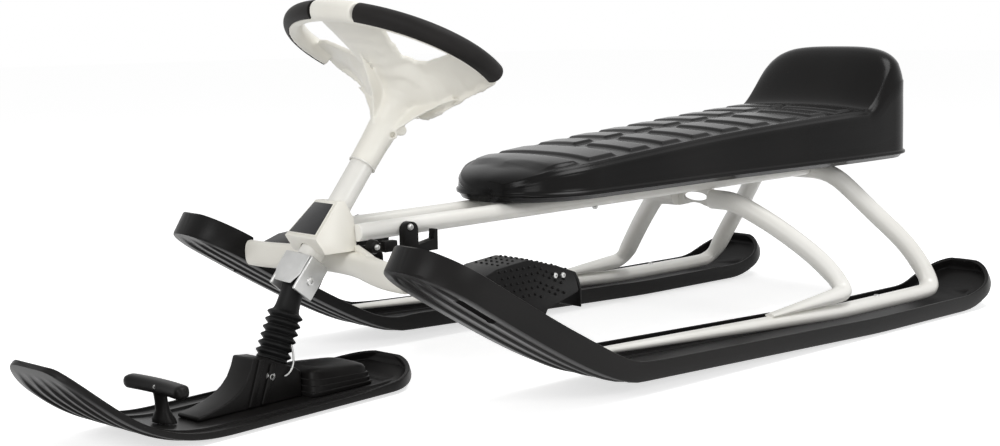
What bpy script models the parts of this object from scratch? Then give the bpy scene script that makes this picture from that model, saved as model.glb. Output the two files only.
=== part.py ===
# Steering sled: a white tube frame on two rear skis, a moulded seat, and a steering ski
# turned by a wheel. Metres, +Z up. The front faces -Y, the rider's left is +X, and the
# origin is on the floor at the middle of the outside box.
import math
import bpy
import bmesh
import numpy as np
from mathutils import Matrix, Vector

for old in list(bpy.data.objects):
    bpy.data.objects.remove(old, do_unlink=True)

# Driving dimensions.
GAP = 0.0003              # clearance left between two pieces that touch
TRACK = 0.380             # rear skis, centre to centre
SKI_WIDTH = 0.109         # rear ski, outside
SKI_TIP_Y = -0.330        # front end of the rear skis
SKI_TAIL_Y = 0.646        # rear end of the rear skis
SKI_BEND_Y = -0.060       # where the rear ski's sole begins to rise
SKI_TIP_RISE = 0.132      # height of the sole at the tip
SKI_TAIL_RISE = 0.042     # height of the sole at the tail
HEEL_Y = 0.360            # the rear skis lie flat behind here and lift ahead of it
HEEL_LIFT = 0.030         # lift of the rear skis ahead of the heel, per metre
SOLE = 0.0045             # sole thickness
WALL = 0.0035             # side wall thickness
RIM = 0.020               # side wall height along the flat
TIP_WALL = 0.027          # side wall height at the tip
RIDGE = 0.0022            # depth of the running ridges
RIDGE_WIDTH = 0.011       # width of one ridge at its root

FRONT_SKI_WIDTH = 0.120   # steering ski, outside
FRONT_SKI_TIP_Y = -0.646
FRONT_SKI_TAIL_Y = -0.172
FRONT_SKI_BEND_Y = -0.468
FRONT_SKI_RISE = 0.090

TUBE = 0.0190             # main tube diameter
TUBE_SPREAD = 0.054       # main tubes, centre to centre
HEAD_REAR_Y = -0.2540     # rear face of the steering head
TUBE_REAR_Y = 0.5020      # just ahead of the rear hoop
TUBE_SLOPE = 0.013        # rise of the frame toward the rear, per metre
TUBE_Z0 = 0.1714          # height of the main tube centre at the origin
HOOP_TUBE = 0.025         # hoop tube diameter
RUNNER_HALF_WIDTH = 0.0130
RUNNER_HALF_HEIGHT = 0.0095
RUNNER_FRONT_Y = -0.056

RAKE = math.radians(38.1)         # column leans back from the vertical
AXIS_POINT = Vector((0.0, -0.2694, 0.1755))
STEER = math.radians(5.9)         # the wheel stands turned to the rider's left
COLUMN = 0.026            # column tube diameter
WHEEL_HALF_WIDTH = 0.1296 # middle of the rim, from the middle of the wheel
WHEEL_LIFT = 0.1858       # rim above the axis point, along the column
WHEEL_TILT = 0.146        # the rim rises this much per metre toward the rider
HUB_LOW = 0.0745          # lower end of the wheel's sleeve on the column
RIM_HALF = 0.0112         # half thickness of the rim and its grips

SEAT_FRONT_Y = -0.062
SEAT_REAR_Y = 0.628
SEAT_CLEAR = 0.0006       # seat base above the main tubes
FLANGE_LIFT = 0.0060      # lip of the seat above its base
BACK_RISE = 0.074         # back rest above the seat
PAD_RISE = 0.0038         # raised pads on the seat

UP_AXIS = Vector((0.0, math.sin(RAKE), math.cos(RAKE)))
BACK_AXIS = Vector((0.0, math.cos(RAKE), -math.sin(RAKE)))
SIDE_AXIS = Vector((1.0, 0.0, 0.0))
SKI_X = TRACK / 2


# Helpers.
def material(name, rgb, rough, metal=0.0):
    mat = bpy.data.materials.new(name)
    mat.use_nodes = True
    shader = mat.node_tree.nodes["Principled BSDF"]
    shader.inputs["Base Color"].default_value = (*rgb, 1.0)
    shader.inputs["Roughness"].default_value = rough
    shader.inputs["Metallic"].default_value = metal
    mat.diffuse_color = (*rgb, 1.0)
    return mat


def make(name, verts, faces, rgb, rough, metal=0.0, smooth=40.0):
    """Turn lists of corners and faces into one closed, outward-facing object."""
    mesh = bpy.data.meshes.new(name)
    mesh.from_pydata([tuple(v) for v in verts], [], faces)
    bm = bmesh.new()
    bm.from_mesh(mesh)
    bmesh.ops.remove_doubles(bm, verts=bm.verts, dist=0.00002)
    bmesh.ops.dissolve_degenerate(bm, edges=bm.edges, dist=0.00001)
    bmesh.ops.recalc_face_normals(bm, faces=bm.faces)
    bm.to_mesh(mesh)
    bm.free()
    obj = bpy.data.objects.new(name, mesh)
    bpy.context.collection.objects.link(obj)
    mesh.materials.append(material(name + "_material", rgb, rough, metal))
    if smooth:
        soften(obj, smooth)
    return obj


def soften(obj, angle):
    """Smooth faces that meet at less than the angle, keep the rest sharp."""
    mesh = obj.data
    bm = bmesh.new()
    bm.from_mesh(mesh)
    limit = math.radians(angle)
    for face in bm.faces:
        face.smooth = True
    for edge in bm.edges:
        edge.smooth = len(edge.link_faces) == 2 and edge.calc_face_angle(0.0) < limit
    bm.to_mesh(mesh)
    bm.free()


def loft(sections, closed=False):
    """Corners and faces of a skin through equal-length rings, with flat end caps."""
    count = len(sections[0])
    verts = [point for ring in sections for point in ring]
    faces = []
    rings = len(sections)
    for i in range(rings if closed else rings - 1):
        a = i * count
        b = ((i + 1) % rings) * count
        for j in range(count):
            k = (j + 1) % count
            faces.append((a + j, a + k, b + k, b + j))
    if not closed:
        faces.append(tuple(range(count)))
        faces.append(tuple(range((rings - 1) * count, rings * count)))
    return verts, faces


def rounded(points, reach, steps=4):
    """Replace each inner corner of a path by a short curve."""
    points = [Vector(p) for p in points]
    path = [points[0]]
    for i in range(1, len(points) - 1):
        before, here, after = points[i - 1], points[i], points[i + 1]
        cut = min(reach, (here - before).length * 0.48, (after - here).length * 0.48)
        start = here + (before - here).normalized() * cut
        end = here + (after - here).normalized() * cut
        for s in range(steps + 1):
            t = s / steps
            path.append(start * (1 - t) ** 2 + here * 2 * t * (1 - t) + end * t ** 2)
    path.append(points[-1])
    return path


def sweep(path, half_wide, half_high, sides=14, up=Vector((0, 0, 1)), closed=False,
          power=1.0, level=False):
    """Rings of an oval tube along a path. The two half sizes may be lists.
    With level, the wide way stays square to the up direction all along."""
    count = len(path)
    wide = half_wide if isinstance(half_wide, list) else [half_wide] * count
    high = half_high if isinstance(half_high, list) else [half_high] * count
    rings = []
    side_before = None
    for i, point in enumerate(path):
        before = path[i - 1] if i > 0 or closed else path[i]
        after = path[(i + 1) % count] if i < count - 1 or closed else path[i]
        along = (after - before).normalized()
        if side_before is None or level:
            side = along.cross(up)
            if side.length < 0.01:
                side = along.cross(Vector((1, 0, 0)))
        else:
            side = side_before - along * side_before.dot(along)
        side.normalize()
        side_before = side
        over = side.cross(along)
        ring = []
        for j in range(sides):
            angle = 2 * math.pi * j / sides
            c, s = math.cos(angle), math.sin(angle)
            c = math.copysign(abs(c) ** power, c)
            s = math.copysign(abs(s) ** power, s)
            ring.append(point + side * (wide[i] * c) + over * (high[i] * s))
        rings.append(ring)
    return rings


def tube(name, path, half_wide, half_high, rgb, rough, metal=0.0, **more):
    verts, faces = loft(sweep(path, half_wide, half_high, **more),
                        closed=more.get("closed", False))
    return make(name, verts, faces, rgb, rough, metal)


def prism(name, outline, frame, low, high, rgb, rough, metal=0.0, smooth=30.0):
    """Flat outline drawn in a frame (origin, axis u, axis v), thick along u x v."""
    origin, u, v = frame
    w = u.cross(v).normalized()
    rings = [[origin + u * a + v * b + w * level for a, b in outline]
             for level in (low, high)]
    verts, faces = loft(rings)
    return make(name, verts, faces, rgb, rough, metal, smooth)


def box(name, centre, size, rgb, rough, metal=0.0, bevel=0.0, turn=None):
    bm = bmesh.new()
    bmesh.ops.create_cube(bm, size=1.0)
    bmesh.ops.scale(bm, vec=size, verts=bm.verts)
    if bevel:
        bmesh.ops.bevel(bm, geom=bm.edges[:], offset=bevel, segments=2, profile=0.5,
                        affect="EDGES", clamp_overlap=True)
    if turn is not None:
        bmesh.ops.transform(bm, matrix=turn, verts=bm.verts)
    bmesh.ops.translate(bm, vec=centre, verts=bm.verts)
    verts = [v.co.copy() for v in bm.verts]
    faces = [tuple(v.index for v in f.verts) for f in bm.faces]
    bm.free()
    return make(name, verts, faces, rgb, rough, metal)


def boolean(obj, others, operation):
    """Cut the others from the object, or join them to it, and drop them."""
    for other in others:
        other.hide_render = True
        other.display_type = "WIRE"
        step = obj.modifiers.new("step", "BOOLEAN")
        step.operation = operation
        step.solver = "EXACT"
        step.object = other
    graph = bpy.context.evaluated_depsgraph_get()
    mesh = bpy.data.meshes.new_from_object(obj.evaluated_get(graph))
    obj.modifiers.clear()
    old = obj.data
    obj.data = mesh
    bpy.data.meshes.remove(old)
    keep = obj.data.materials[0]
    obj.data.materials.clear()
    obj.data.materials.append(keep)
    for polygon in obj.data.polygons:
        polygon.material_index = 0
    bm = bmesh.new()
    bm.from_mesh(obj.data)
    bmesh.ops.remove_doubles(bm, verts=bm.verts, dist=0.00003)
    bmesh.ops.dissolve_degenerate(bm, edges=bm.edges, dist=0.00001)
    bmesh.ops.recalc_face_normals(bm, faces=bm.faces)
    bm.to_mesh(obj.data)
    bm.free()
    for other in others:
        bpy.data.objects.remove(other, do_unlink=True)
    soften(obj, 40.0)
    return obj


def mirrored(obj, name):
    """A copy on the other side of the middle plane."""
    mesh = obj.data.copy()
    mesh.name = name
    mesh.transform(Matrix.Scale(-1.0, 4, Vector((1, 0, 0))))
    mesh.flip_normals()
    copy = bpy.data.objects.new(name, mesh)
    bpy.context.collection.objects.link(copy)
    shade = obj.data.materials[0].copy()
    shade.name = name + "_material"
    mesh.materials.clear()
    mesh.materials.append(shade)
    return copy


def ease(value, low, high):
    """0 below low, 1 above high, and a soft step between."""
    t = min(1.0, max(0.0, (value - low) / (high - low)))
    return t * t * (3 - 2 * t)


def tube_z(y):
    """Height of the main tube centre."""
    return TUBE_Z0 + TUBE_SLOPE * y


def heel_lift(y):
    """Height of the rear skis' sole line above the floor, without its bends."""
    ahead = HEEL_Y - y
    soft = 0.030
    if ahead <= -soft:
        return 0.0
    if ahead < soft:
        return HEEL_LIFT * (ahead + soft) ** 2 / (4 * soft)
    return HEEL_LIFT * ahead


WHITE = (0.86, 0.86, 0.82)
BLACK = (0.016, 0.016, 0.017)
GREY = (0.42, 0.43, 0.43)
STEEL = (0.60, 0.60, 0.60)


# Skis.
def ski(name, tip_y, tail_y, bend_y, tip_rise, tail_rise, width, walls, corner, tail_bend,
        lift=None):
    """One moulded ski. walls(y) gives the left and right wall heights at y."""
    def sole(y):
        if y < bend_y:
            t = (bend_y - y) / (bend_y - tip_y)
            rise = tip_rise * (1.28 * t * t / (0.28 + t)) if t > 0 else 0.0
        elif y > tail_bend:
            t = (y - tail_bend) / (tail_y - tail_bend)
            rise = tail_rise * t ** 2.0
        else:
            rise = 0.0
        return rise + (lift(y) if lift else 0.0)

    def half(distance, radius):
        if distance >= radius:
            return width / 2
        drop = radius - math.sqrt(max(0.0, radius ** 2 - (radius - distance) ** 2))
        return width / 2 - drop

    front_r, back_r = corner
    stations = []
    for d in (0.0, 0.0015, 0.0055, WALL + 0.0032, 0.013, 0.021, 0.032, 0.046):
        stations.append(tip_y + d)
    for y in np.linspace(tip_y + 0.062, bend_y + 0.02, 9):
        stations.append(float(y))
    for y in np.linspace(bend_y + 0.05, tail_bend - 0.004, 5):
        stations.append(float(y))
    for d in (0.078, 0.056, 0.040, 0.028, 0.018, 0.010, 0.0050, 0.0012, 0.0):
        stations.append(tail_y - d)
    stations = sorted(set(round(y, 5) for y in stations))

    sections = []
    for y in stations:
        slope = (sole(y + 0.001) - sole(y - 0.001)) / 0.002
        normal = Vector((0, -slope, 1)).normalized()
        base = Vector((0, y, sole(y) + RIDGE))
        to_tip, to_tail = y - tip_y, tail_y - y
        a = min(half(to_tip, front_r), half(to_tail, back_r))
        left, right = walls(y)
        solid = to_tip < WALL + 0.001 or to_tail < WALL + 0.001
        fade = ease(min(to_tip, to_tail), 0.006, 0.030) * RIDGE
        inner = max(a - WALL, a * 0.5)
        if not solid:
            inner = min(half(to_tip - WALL, front_r), half(to_tail - WALL, back_r)) - WALL
        edge = min(0.003, a * 0.2)
        w = min(RIDGE_WIDTH / 2, a * 0.13)
        ring = [(-a, left), (-a, edge), (-a + edge, 0.0)]
        for centre in (-0.55, 0.0, 0.55):
            c = centre * a
            ring += [(c - w, 0.0), (c - w * 0.6, -fade), (c + w * 0.6, -fade), (c + w, 0.0)]
        floor = (left - 0.0006, right - 0.0006) if solid else (SOLE, SOLE)
        ring += [(a - edge, 0.0), (a, edge), (a, right), (inner, right),
                 (inner, floor[1]), (-inner, floor[0]), (-inner, left)]
        sections.append([base + SIDE_AXIS * x + normal * n for x, n in ring])
    verts, faces = loft(sections)
    obj = make(name, verts, faces, BLACK, 0.42)
    return obj, sole


def rear_walls(y):
    """Outer (+X) and inner (-X) wall heights of the left rear ski."""
    outer = RIM + (TIP_WALL - RIM) * ease(-y, 0.02, 0.16)
    inner = RIM * 0.62 + RIM * 0.38 * ease(y, -0.12, -0.04)
    inner += (TIP_WALL - RIM * 0.62) * ease(-y, 0.278, 0.286)
    tail = ease(y, SKI_TAIL_Y - 0.10, SKI_TAIL_Y) * 0.004
    return inner - tail, outer - tail


left_ski, rear_sole = ski("ski_left", SKI_TIP_Y, SKI_TAIL_Y, SKI_BEND_Y, SKI_TIP_RISE,
                          SKI_TAIL_RISE, SKI_WIDTH, rear_walls, (0.040, 0.046), 0.550,
                          lift=heel_lift)
slot_y = (-0.288, -0.236)
slot_z = [rear_sole(y) + RIDGE for y in slot_y]
slot_turn = math.atan2(slot_z[1] - slot_z[0], slot_y[1] - slot_y[0])
slot = box("slot_cutter", Vector((0.016, sum(slot_y) / 2, sum(slot_z) / 2 + 0.002)),
           Vector((0.0095, slot_y[1] - slot_y[0], 0.016)), BLACK, 0.5,
           turn=Matrix.Rotation(slot_turn, 4, "X"))
boolean(left_ski, [slot], "DIFFERENCE")
left_ski.data.transform(Matrix.Translation((SKI_X, 0, 0)))
right_ski = mirrored(left_ski, "ski_right")


def front_walls(y):
    height = 0.011 - 0.006 * ease(-y, 0.470, 0.560)
    height += 0.005 * ease(y, -0.30, -0.20)
    return height, height


steer_ski, front_sole = ski("steering_ski", FRONT_SKI_TIP_Y, FRONT_SKI_TAIL_Y,
                            FRONT_SKI_BEND_Y, FRONT_SKI_RISE, 0.013, FRONT_SKI_WIDTH,
                            front_walls, (0.058, 0.052), -0.232)


# Frame tubes.
def main_tube(name, side):
    x = side * TUBE_SPREAD / 2
    front = HEAD_REAR_Y + GAP
    path = [Vector((x, y, tube_z(y))) for y in (front, -0.05, 0.25, TUBE_REAR_Y)]
    return tube(name, path, TUBE / 2, TUBE / 2, WHITE, 0.38, sides=16)


main_tube("main_tube_left", 1)
main_tube("main_tube_right", -1)

SOLE_TOP = RIDGE + SOLE
RUNNER_Z = SOLE_TOP + 0.0062 + GAP + RUNNER_HALF_HEIGHT


def flattened(path, foot_half, flat_z):
    """Half sizes along a hoop path: round above, flattened where it lies on the ski."""
    radius = HOOP_TUBE / 2
    wide, high = [], []
    for point in path:
        level = flat_z + heel_lift(point.y)
        flat = 1.0 - ease(point.z, level + 0.004, level + 0.030)
        wide.append(radius + (foot_half[0] - radius) * flat)
        high.append(radius + (foot_half[1] - radius) * flat)
    return wide, high


# Leg points read from both sides of the photo at once, as a share of the ski's x,
# the distance behind the leg's own top, and z.
HOOP_TOP_Y = TUBE_REAR_Y + 0.0005 + HOOP_TUBE / 2
LEG_TOP_Y = HOOP_TOP_Y - 0.210
FRONT_LEG = [(0.574, 0.0280, 0.1225), (0.821, 0.0540, 0.0825)]
REAR_LEG = [(0.590, 0.0270, 0.1180), (0.805, 0.0450, 0.0776)]
FRONT_TOP = (0.337 * SKI_X, LEG_TOP_Y)
REAR_TOP = (0.316 * SKI_X, HOOP_TOP_Y)
LEG_INNER_X = TUBE_SPREAD / 2 + 0.002
STACK_HALF = 0.0100
STACK_Z = RUNNER_Z + RUNNER_HALF_HEIGHT + GAP + STACK_HALF
front_z = tube_z(FRONT_TOP[1]) - TUBE / 2 - GAP - HOOP_TUBE / 2
rear_z = tube_z(REAR_TOP[1]) + TUBE / 2 - HOOP_TUBE / 2


def leg_points(table, top_y):
    return [(share * SKI_X, top_y + back, z) for share, back, z in table]


def on_runner(y, z):
    """Point above the middle of the ski at y, following the lift of the sole."""
    return (SKI_X, y, z + heel_lift(y))


leg_path = [(LEG_INNER_X, LEG_TOP_Y, front_z), (*FRONT_TOP, front_z)]
leg_path += leg_points(FRONT_LEG, LEG_TOP_Y)
leg_path += [on_runner(LEG_TOP_Y + 0.067, STACK_Z), on_runner(LEG_TOP_Y - 0.090, STACK_Z)]
leg_path = rounded(leg_path, 0.030, 4)
leg_wide, leg_high = flattened(leg_path, (0.0125, STACK_HALF), STACK_Z)
left_leg = tube("front_leg_left", leg_path, leg_wide, leg_high, WHITE, 0.38, sides=14,
                level=True)
mirrored(left_leg, "front_leg_right")

half_hoop = [(0.0, HOOP_TOP_Y, rear_z), (*REAR_TOP, rear_z)]
half_hoop += leg_points(REAR_LEG, HOOP_TOP_Y)
half_hoop += [on_runner(HOOP_TOP_Y + 0.051, RUNNER_Z), on_runner(HEEL_Y, RUNNER_Z),
              on_runner(RUNNER_FRONT_Y, RUNNER_Z)]
hoop_path = [(-x, y, z) for x, y, z in reversed(half_hoop[1:])] + half_hoop
hoop_path = rounded(hoop_path, 0.030, 4)
hoop_wide, hoop_high = flattened(hoop_path, (RUNNER_HALF_WIDTH, RUNNER_HALF_HEIGHT),
                                 RUNNER_Z)
tube("rear_hoop", hoop_path, hoop_wide, hoop_high, WHITE, 0.38, sides=14, level=True)


# Plates and head.
def arch(half_top, half_low, low, high, rise):
    """Outline of a web plate: straight top, arched lower edge."""
    outline = [(-half_top, high), (-half_low, low)]
    for s in range(1, 8):
        x = -half_low + 0.010 + (2 * half_low - 0.020) * s / 8
        outline.append((x, low + rise * math.sin(math.pi * s / 8) ** 0.6))
    outline += [(half_low, low), (half_top, high)]
    return outline


PLATE = 0.003
plate_y = FRONT_TOP[1] + PLATE / 2
plate_top = tube_z(plate_y) - TUBE / 2 - GAP
plate_low = front_z - HOOP_TUBE / 2
plate_half = LEG_INNER_X - GAP
web = prism("front_web_plate", arch(plate_half, plate_half, plate_low, plate_top, 0.006),
            (Vector((0, plate_y, 0)), Vector((-1, 0, 0)), Vector((0, 0, 1))),
            0.0, PLATE, WHITE, 0.38)
hole = bmesh.new()
bmesh.ops.create_cone(hole, segments=20, radius1=0.012, radius2=0.012, depth=0.02,
                      cap_ends=True)
bmesh.ops.scale(hole, vec=(1.6, 0.46, 1.0), verts=hole.verts)
bmesh.ops.rotate(hole, matrix=Matrix.Rotation(math.pi / 2, 3, "X"), verts=hole.verts)
bmesh.ops.translate(hole, vec=(0, plate_y, front_z + 0.0015), verts=hole.verts)
hole_verts = [v.co.copy() for v in hole.verts]
hole_faces = [tuple(v.index for v in f.verts) for f in hole.faces]
hole.free()
boolean(web, [make("hole_cutter", hole_verts, hole_faces, WHITE, 0.5)], "DIFFERENCE")

# steering head profile as y, z, half width
HEAD = [(-0.3040, 0.1665, 0.0270), (-0.2930, 0.1500, 0.0280), (HEAD_REAR_Y, 0.1500, 0.0280),
        (HEAD_REAR_Y, 0.1840, 0.0235), (-0.2610, 0.2005, 0.0190), (-0.2700, 0.2005, 0.0190)]


def turned_cylinder(name, radius, low, high, sides, offset=Vector((0, 0, 0))):
    """Cylinder on the steering axis between two distances from the axis point."""
    bm = bmesh.new()
    bmesh.ops.create_cone(bm, segments=sides, radius1=radius, radius2=radius,
                          depth=high - low, cap_ends=True)
    bmesh.ops.rotate(bm, matrix=Matrix.Rotation(-RAKE, 3, "X"), verts=bm.verts)
    bmesh.ops.translate(bm, vec=AXIS_POINT + UP_AXIS * (low + high) / 2 + offset,
                        verts=bm.verts)
    verts = [v.co.copy() for v in bm.verts]
    faces = [tuple(v.index for v in f.verts) for f in bm.faces]
    bm.free()
    return make(name, verts, faces, WHITE, 0.38)


def head():
    sides = [[Vector((side * half, y, z)) for y, z, half in HEAD] for side in (-1, 1)]
    verts, faces = loft(sides)
    obj = make("steering_head", verts, faces, WHITE, 0.38)
    cut = turned_cylinder("head_cutter", COLUMN / 2 + 0.0010, -0.09, 0.09, 32)
    return boolean(obj, [cut], "DIFFERENCE")


head()

BAR_END_X = SKI_X - SKI_WIDTH / 2 - GAP
BAR_Y = -0.2660
BAR_Z = 0.1345
BAR_BOW = 0.0130             # the middle of the bar stands back, clear of the turning fork
bar_path = [(0.0, BAR_Y + BAR_BOW, BAR_Z + 0.0020),
            (0.27 * BAR_END_X, BAR_Y + 0.8 * BAR_BOW, BAR_Z + 0.0018),
            (0.62 * BAR_END_X, BAR_Y - 0.006, BAR_Z + 0.0008),
            (0.83 * BAR_END_X, BAR_Y - 0.010, BAR_Z), (BAR_END_X, BAR_Y - 0.010, BAR_Z)]
bar_path = [(-x, y, z) for x, y, z in reversed(bar_path[1:])] + bar_path
bar_path = rounded(bar_path, 0.022, 3)
bar_wide = [0.0125 - 0.0045 * ease(abs(p.x) / BAR_END_X, 0.22, 0.74) for p in bar_path]
bar_high = [0.0130 + 0.0010 * ease(abs(p.x) / BAR_END_X, 0.22, 0.74) for p in bar_path]
tube("front_crossbar", bar_path, bar_wide, bar_high, WHITE, 0.38, sides=16, power=0.75)


# Foot rests.
def footrest():
    """Raised foot plate standing on the rising part of the left ski."""
    foot_y = [-0.262, -0.250, -0.238]
    top = RIDGE + SOLE + GAP
    low = []
    for y in foot_y:
        slope = (rear_sole(y + 0.001) - rear_sole(y - 0.001)) / 0.002
        low.append((y, rear_sole(y) + top * math.sqrt(1 + slope * slope)))
    outline = low + [(-0.208, 0.1240), (-0.165, 0.1405), (-0.112, 0.1270),
                     (-0.096, 0.1190), (-0.087, 0.1090), (-0.085, 0.0900),
                     (-0.080, 0.0900), (-0.080, 0.1090), (-0.087, 0.1190),
                     (-0.098, 0.1270), (-0.124, 0.1360), (-0.165, 0.1470),
                     (-0.205, 0.1430), (-0.240, 0.1310)]
    return prism("footrest_left", outline,
                 (Vector((0, 0, 0)), Vector((0, 1, 0)), Vector((0, 0, 1))),
                 SKI_X - SKI_WIDTH / 2 + WALL + 0.0006, SKI_X - 0.002, BLACK, 0.55)


left_rest = footrest()
mirrored(left_rest, "footrest_right")


# Seat.
def seat_base(y):
    return tube_z(y) + TUBE / 2 + SEAT_CLEAR


def seat_half(y):
    """Half width of the seat base in plan."""
    grow = 0.0920 + 0.0040 * ease(y, 0.0, 0.20) + 0.0190 * ease(y, 0.20, 0.56)
    nose = max(0.0, 0.080 - (y - SEAT_FRONT_Y)) / 0.080
    heel = max(0.0, 0.045 - (SEAT_REAR_Y - y)) / 0.045
    nose_cut = 0.062 * (1 - math.sqrt(max(0.0, 1 - nose ** 2)))
    heel_cut = 0.032 * (1 - math.sqrt(max(0.0, 1 - heel ** 2)))
    return grow - nose_cut - heel_cut


def seat_crown(y):
    """Height of the seat top on the middle line, without the back rest."""
    crown = 0.2235 + 0.098 * y - 0.050 * y * abs(y)
    nose = max(0.0, 0.050 - (y - SEAT_FRONT_Y)) / 0.050
    return crown - 0.016 * (1 - math.sqrt(max(0.0, 1 - nose ** 2)))


def back_top(y):
    """Height of the back rest on the middle line."""
    rise = BACK_RISE * ease(y, SEAT_REAR_Y - 0.104, SEAT_REAR_Y - 0.026)
    heel = max(0.0, 0.020 - (SEAT_REAR_Y - y)) / 0.020
    return rise - 0.018 * (1 - math.sqrt(max(0.0, 1 - heel ** 2)))


def seat_top(x, y):
    """Height of the upper surface at x, y."""
    t = min(1.0, abs(x) / seat_half(y))
    dome = seat_crown(y) - 0.005 * t ** 4
    return dome + back_top(y) * (1 - t ** 4.5) ** 0.25


def seat():
    stations = [SEAT_FRONT_Y + d for d in (0.0, 0.003, 0.008, 0.016, 0.027, 0.042, 0.060)]
    stations += [float(v) for v in np.linspace(SEAT_FRONT_Y + 0.085, SEAT_REAR_Y - 0.16, 9)]
    stations += [SEAT_REAR_Y - d for d in (0.130, 0.112, 0.098, 0.086, 0.074, 0.062, 0.049,
                                           0.037, 0.025, 0.014, 0.006, 0.002, 0.0)]
    sections = []
    for y in stations:
        half = seat_half(y)
        base = seat_base(y)
        shoulder = 0.94
        lip = base + FLANGE_LIFT
        side = [(half - 0.008, base), (half - 0.002, lip), (half + 0.0035, lip + 0.0003),
                (half + 0.0035, lip + 0.0040), (half, lip + 0.0060)]
        top = seat_top(half * shoulder, y) - 0.005
        side += [(half - 0.001, lip + 0.0060 + (top - lip - 0.0060) * 0.5),
                 (half * 0.985, top - 0.003)]
        crown = []
        for t in (0.955, 0.90, 0.80, 0.66, 0.48, 0.26, 0.0):
            x = half * t
            drop = 0.004 * ease(t, 0.86, 0.98)
            crown.append((x, seat_top(x, y) - drop))
        right = side + crown
        ring = right + [(-x, z) for x, z in reversed(right[:-1])]
        sections.append([Vector((x, y, z)) for x, z in ring])
    verts, faces = loft(sections)
    return make("seat", verts, faces, BLACK, 0.28, smooth=50.0)


def seat_pads(body):
    """Raised slanted bars in two rows beside the middle spine."""
    pads = []
    rows = 9
    for row in range(rows):
        y0 = SEAT_FRONT_Y + 0.028 + row * 0.0530
        length = 0.040
        lean = 0.026
        inner, outer = 0.012, seat_half(y0 + 0.02) * 0.84
        for side in (1, -1):
            bm = bmesh.new()
            low, high = [], []
            for x, y in ((inner, y0), (outer, y0 + lean), (outer, y0 + lean + length),
                         (inner, y0 + length)):
                low.append(bm.verts.new((side * x, y, seat_top(x, y) - 0.006)))
                pull = 0.0022
                px = x + (pull if x == inner else -pull)
                py = y + (pull if y in (y0, y0 + lean) else -pull)
                high.append(bm.verts.new((side * px, py, seat_top(px, py) + PAD_RISE)))
            bm.faces.new(low)
            bm.faces.new(high)
            for i in range(4):
                k = (i + 1) % 4
                bm.faces.new((low[i], low[k], high[k], high[i]))
            bm.verts.index_update()
            verts = [v.co.copy() for v in bm.verts]
            faces = [tuple(v.index for v in f.verts) for f in bm.faces]
            bm.free()
            pads.append(make("pad_cutter", verts, faces, BLACK, 0.3))
    return boolean(body, pads, "UNION")


seat_body = seat_pads(seat())


# Brake lugs.
LUG_Y = -0.197
LUG_THICK = 0.010


def brake_lug(name, side):
    """Pivot lug of the foot brake, clamped to the outer side of a main tube."""
    x = side * (TUBE_SPREAD / 2 + TUBE / 2 + GAP + LUG_THICK / 2)
    y, z = LUG_Y, tube_z(LUG_Y)
    outline = [(-0.0090, -0.0260)]
    for step in range(9):
        angle = math.pi * (1 - step / 8)
        outline.append((0.0090 * math.cos(angle), -0.0020 + 0.0090 * math.sin(angle)))
    outline += [(0.0090, -0.0180), (0.0300, -0.0140), (0.0310, -0.0040), (0.0350, -0.0040),
                (0.0350, -0.0260)]
    return prism(name, [(y + a, z + b) for a, b in outline],
                 (Vector((x, 0, 0)), Vector((0, 1, 0)), Vector((0, 0, 1))),
                 -LUG_THICK / 2, LUG_THICK / 2, BLACK, 0.5)


brake_lug("brake_lug_left", 1)
brake_lug("brake_lug_right", -1)


# Steering assembly.
def hang_on_axis(obj, matrix):
    """Turn the mesh, then move the object's origin onto the steering axis."""
    obj.data.transform(Matrix.Translation(-AXIS_POINT) @ matrix)
    obj.location = AXIS_POINT
    return obj


def steer_upper(obj):
    """Turn a piece about the raked column axis."""
    place = Matrix.Translation(AXIS_POINT)
    turn = Matrix.Rotation(STEER, 4, UP_AXIS)
    return hang_on_axis(obj, place @ turn @ place.inverted())


BOOT_BASE = Vector((0.0, -0.3435, 0.0460))
BOOT_LEAN = Vector((0.0, 0.407, 0.913)).normalized()
SKI_STEER = math.atan(math.tan(STEER) * math.cos(RAKE))


def steer_lower(obj):
    """Turn a piece about the upright line through the foot of the spring leg."""
    place = Matrix.Translation(BOOT_BASE)
    turn = Matrix.Rotation(SKI_STEER, 4, "Z")
    return hang_on_axis(obj, place @ turn @ place.inverted())


def wheel_point(u, v, w):
    """Point at u across, v back in the wheel plane, w up along the column."""
    return AXIS_POINT + SIDE_AXIS * u + BACK_AXIS * v + UP_AXIS * (WHEEL_LIFT + w)


COLUMN_LOW = -0.0410
COLUMN_HIGH = HUB_LOW - GAP
column = turned_cylinder("steering_column", COLUMN / 2, COLUMN_LOW, COLUMN_HIGH, 24)
steer_upper(column)


RIM_DEPTH = 0.0910           # from the middle of the rim's oval to its front
RIM_BACK = -0.0371           # middle of the rim's oval, behind the column
RIM_END = 1.80               # the rim ends this far round from its front, in radians
GRIP_START = 0.235           # the grips begin this far round


def rim_point(turn):
    """Middle line of the rim, an open oval, at an angle round from its front."""
    u = WHEEL_HALF_WIDTH * math.copysign(abs(math.sin(turn)) ** 0.967, turn)
    v = RIM_BACK - RIM_DEPTH * math.copysign(abs(math.cos(turn)) ** 0.967, math.cos(turn))
    return wheel_point(u, v, WHEEL_TILT * (v + 0.06))


def split_tube(name, turns, keep, rgb, rough):
    """Round tube along the rim, keeping at each place only what lies inside (-1) or
    outside (+1) of the middle of its section, or the whole of it (0)."""
    rings = []
    for turn, part in zip(turns, keep):
        middle = rim_point(turn)
        along = (rim_point(turn + 0.01) - rim_point(turn - 0.01)).normalized()
        side = along.cross(UP_AXIS).normalized()
        over = side.cross(along)
        ring = []
        for step in range(16):
            angle = 2 * math.pi * step / 16
            across = RIM_HALF * math.cos(angle)
            if part < 0:
                across = min(across, -GAP / 2)
            if part > 0:
                across = max(across, GAP / 2)
            ring.append(middle + side * across + over * (RIM_HALF * math.sin(angle)))
        rings.append(ring)
    verts, faces = loft(rings)
    return make(name, verts, faces, rgb, rough)


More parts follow.
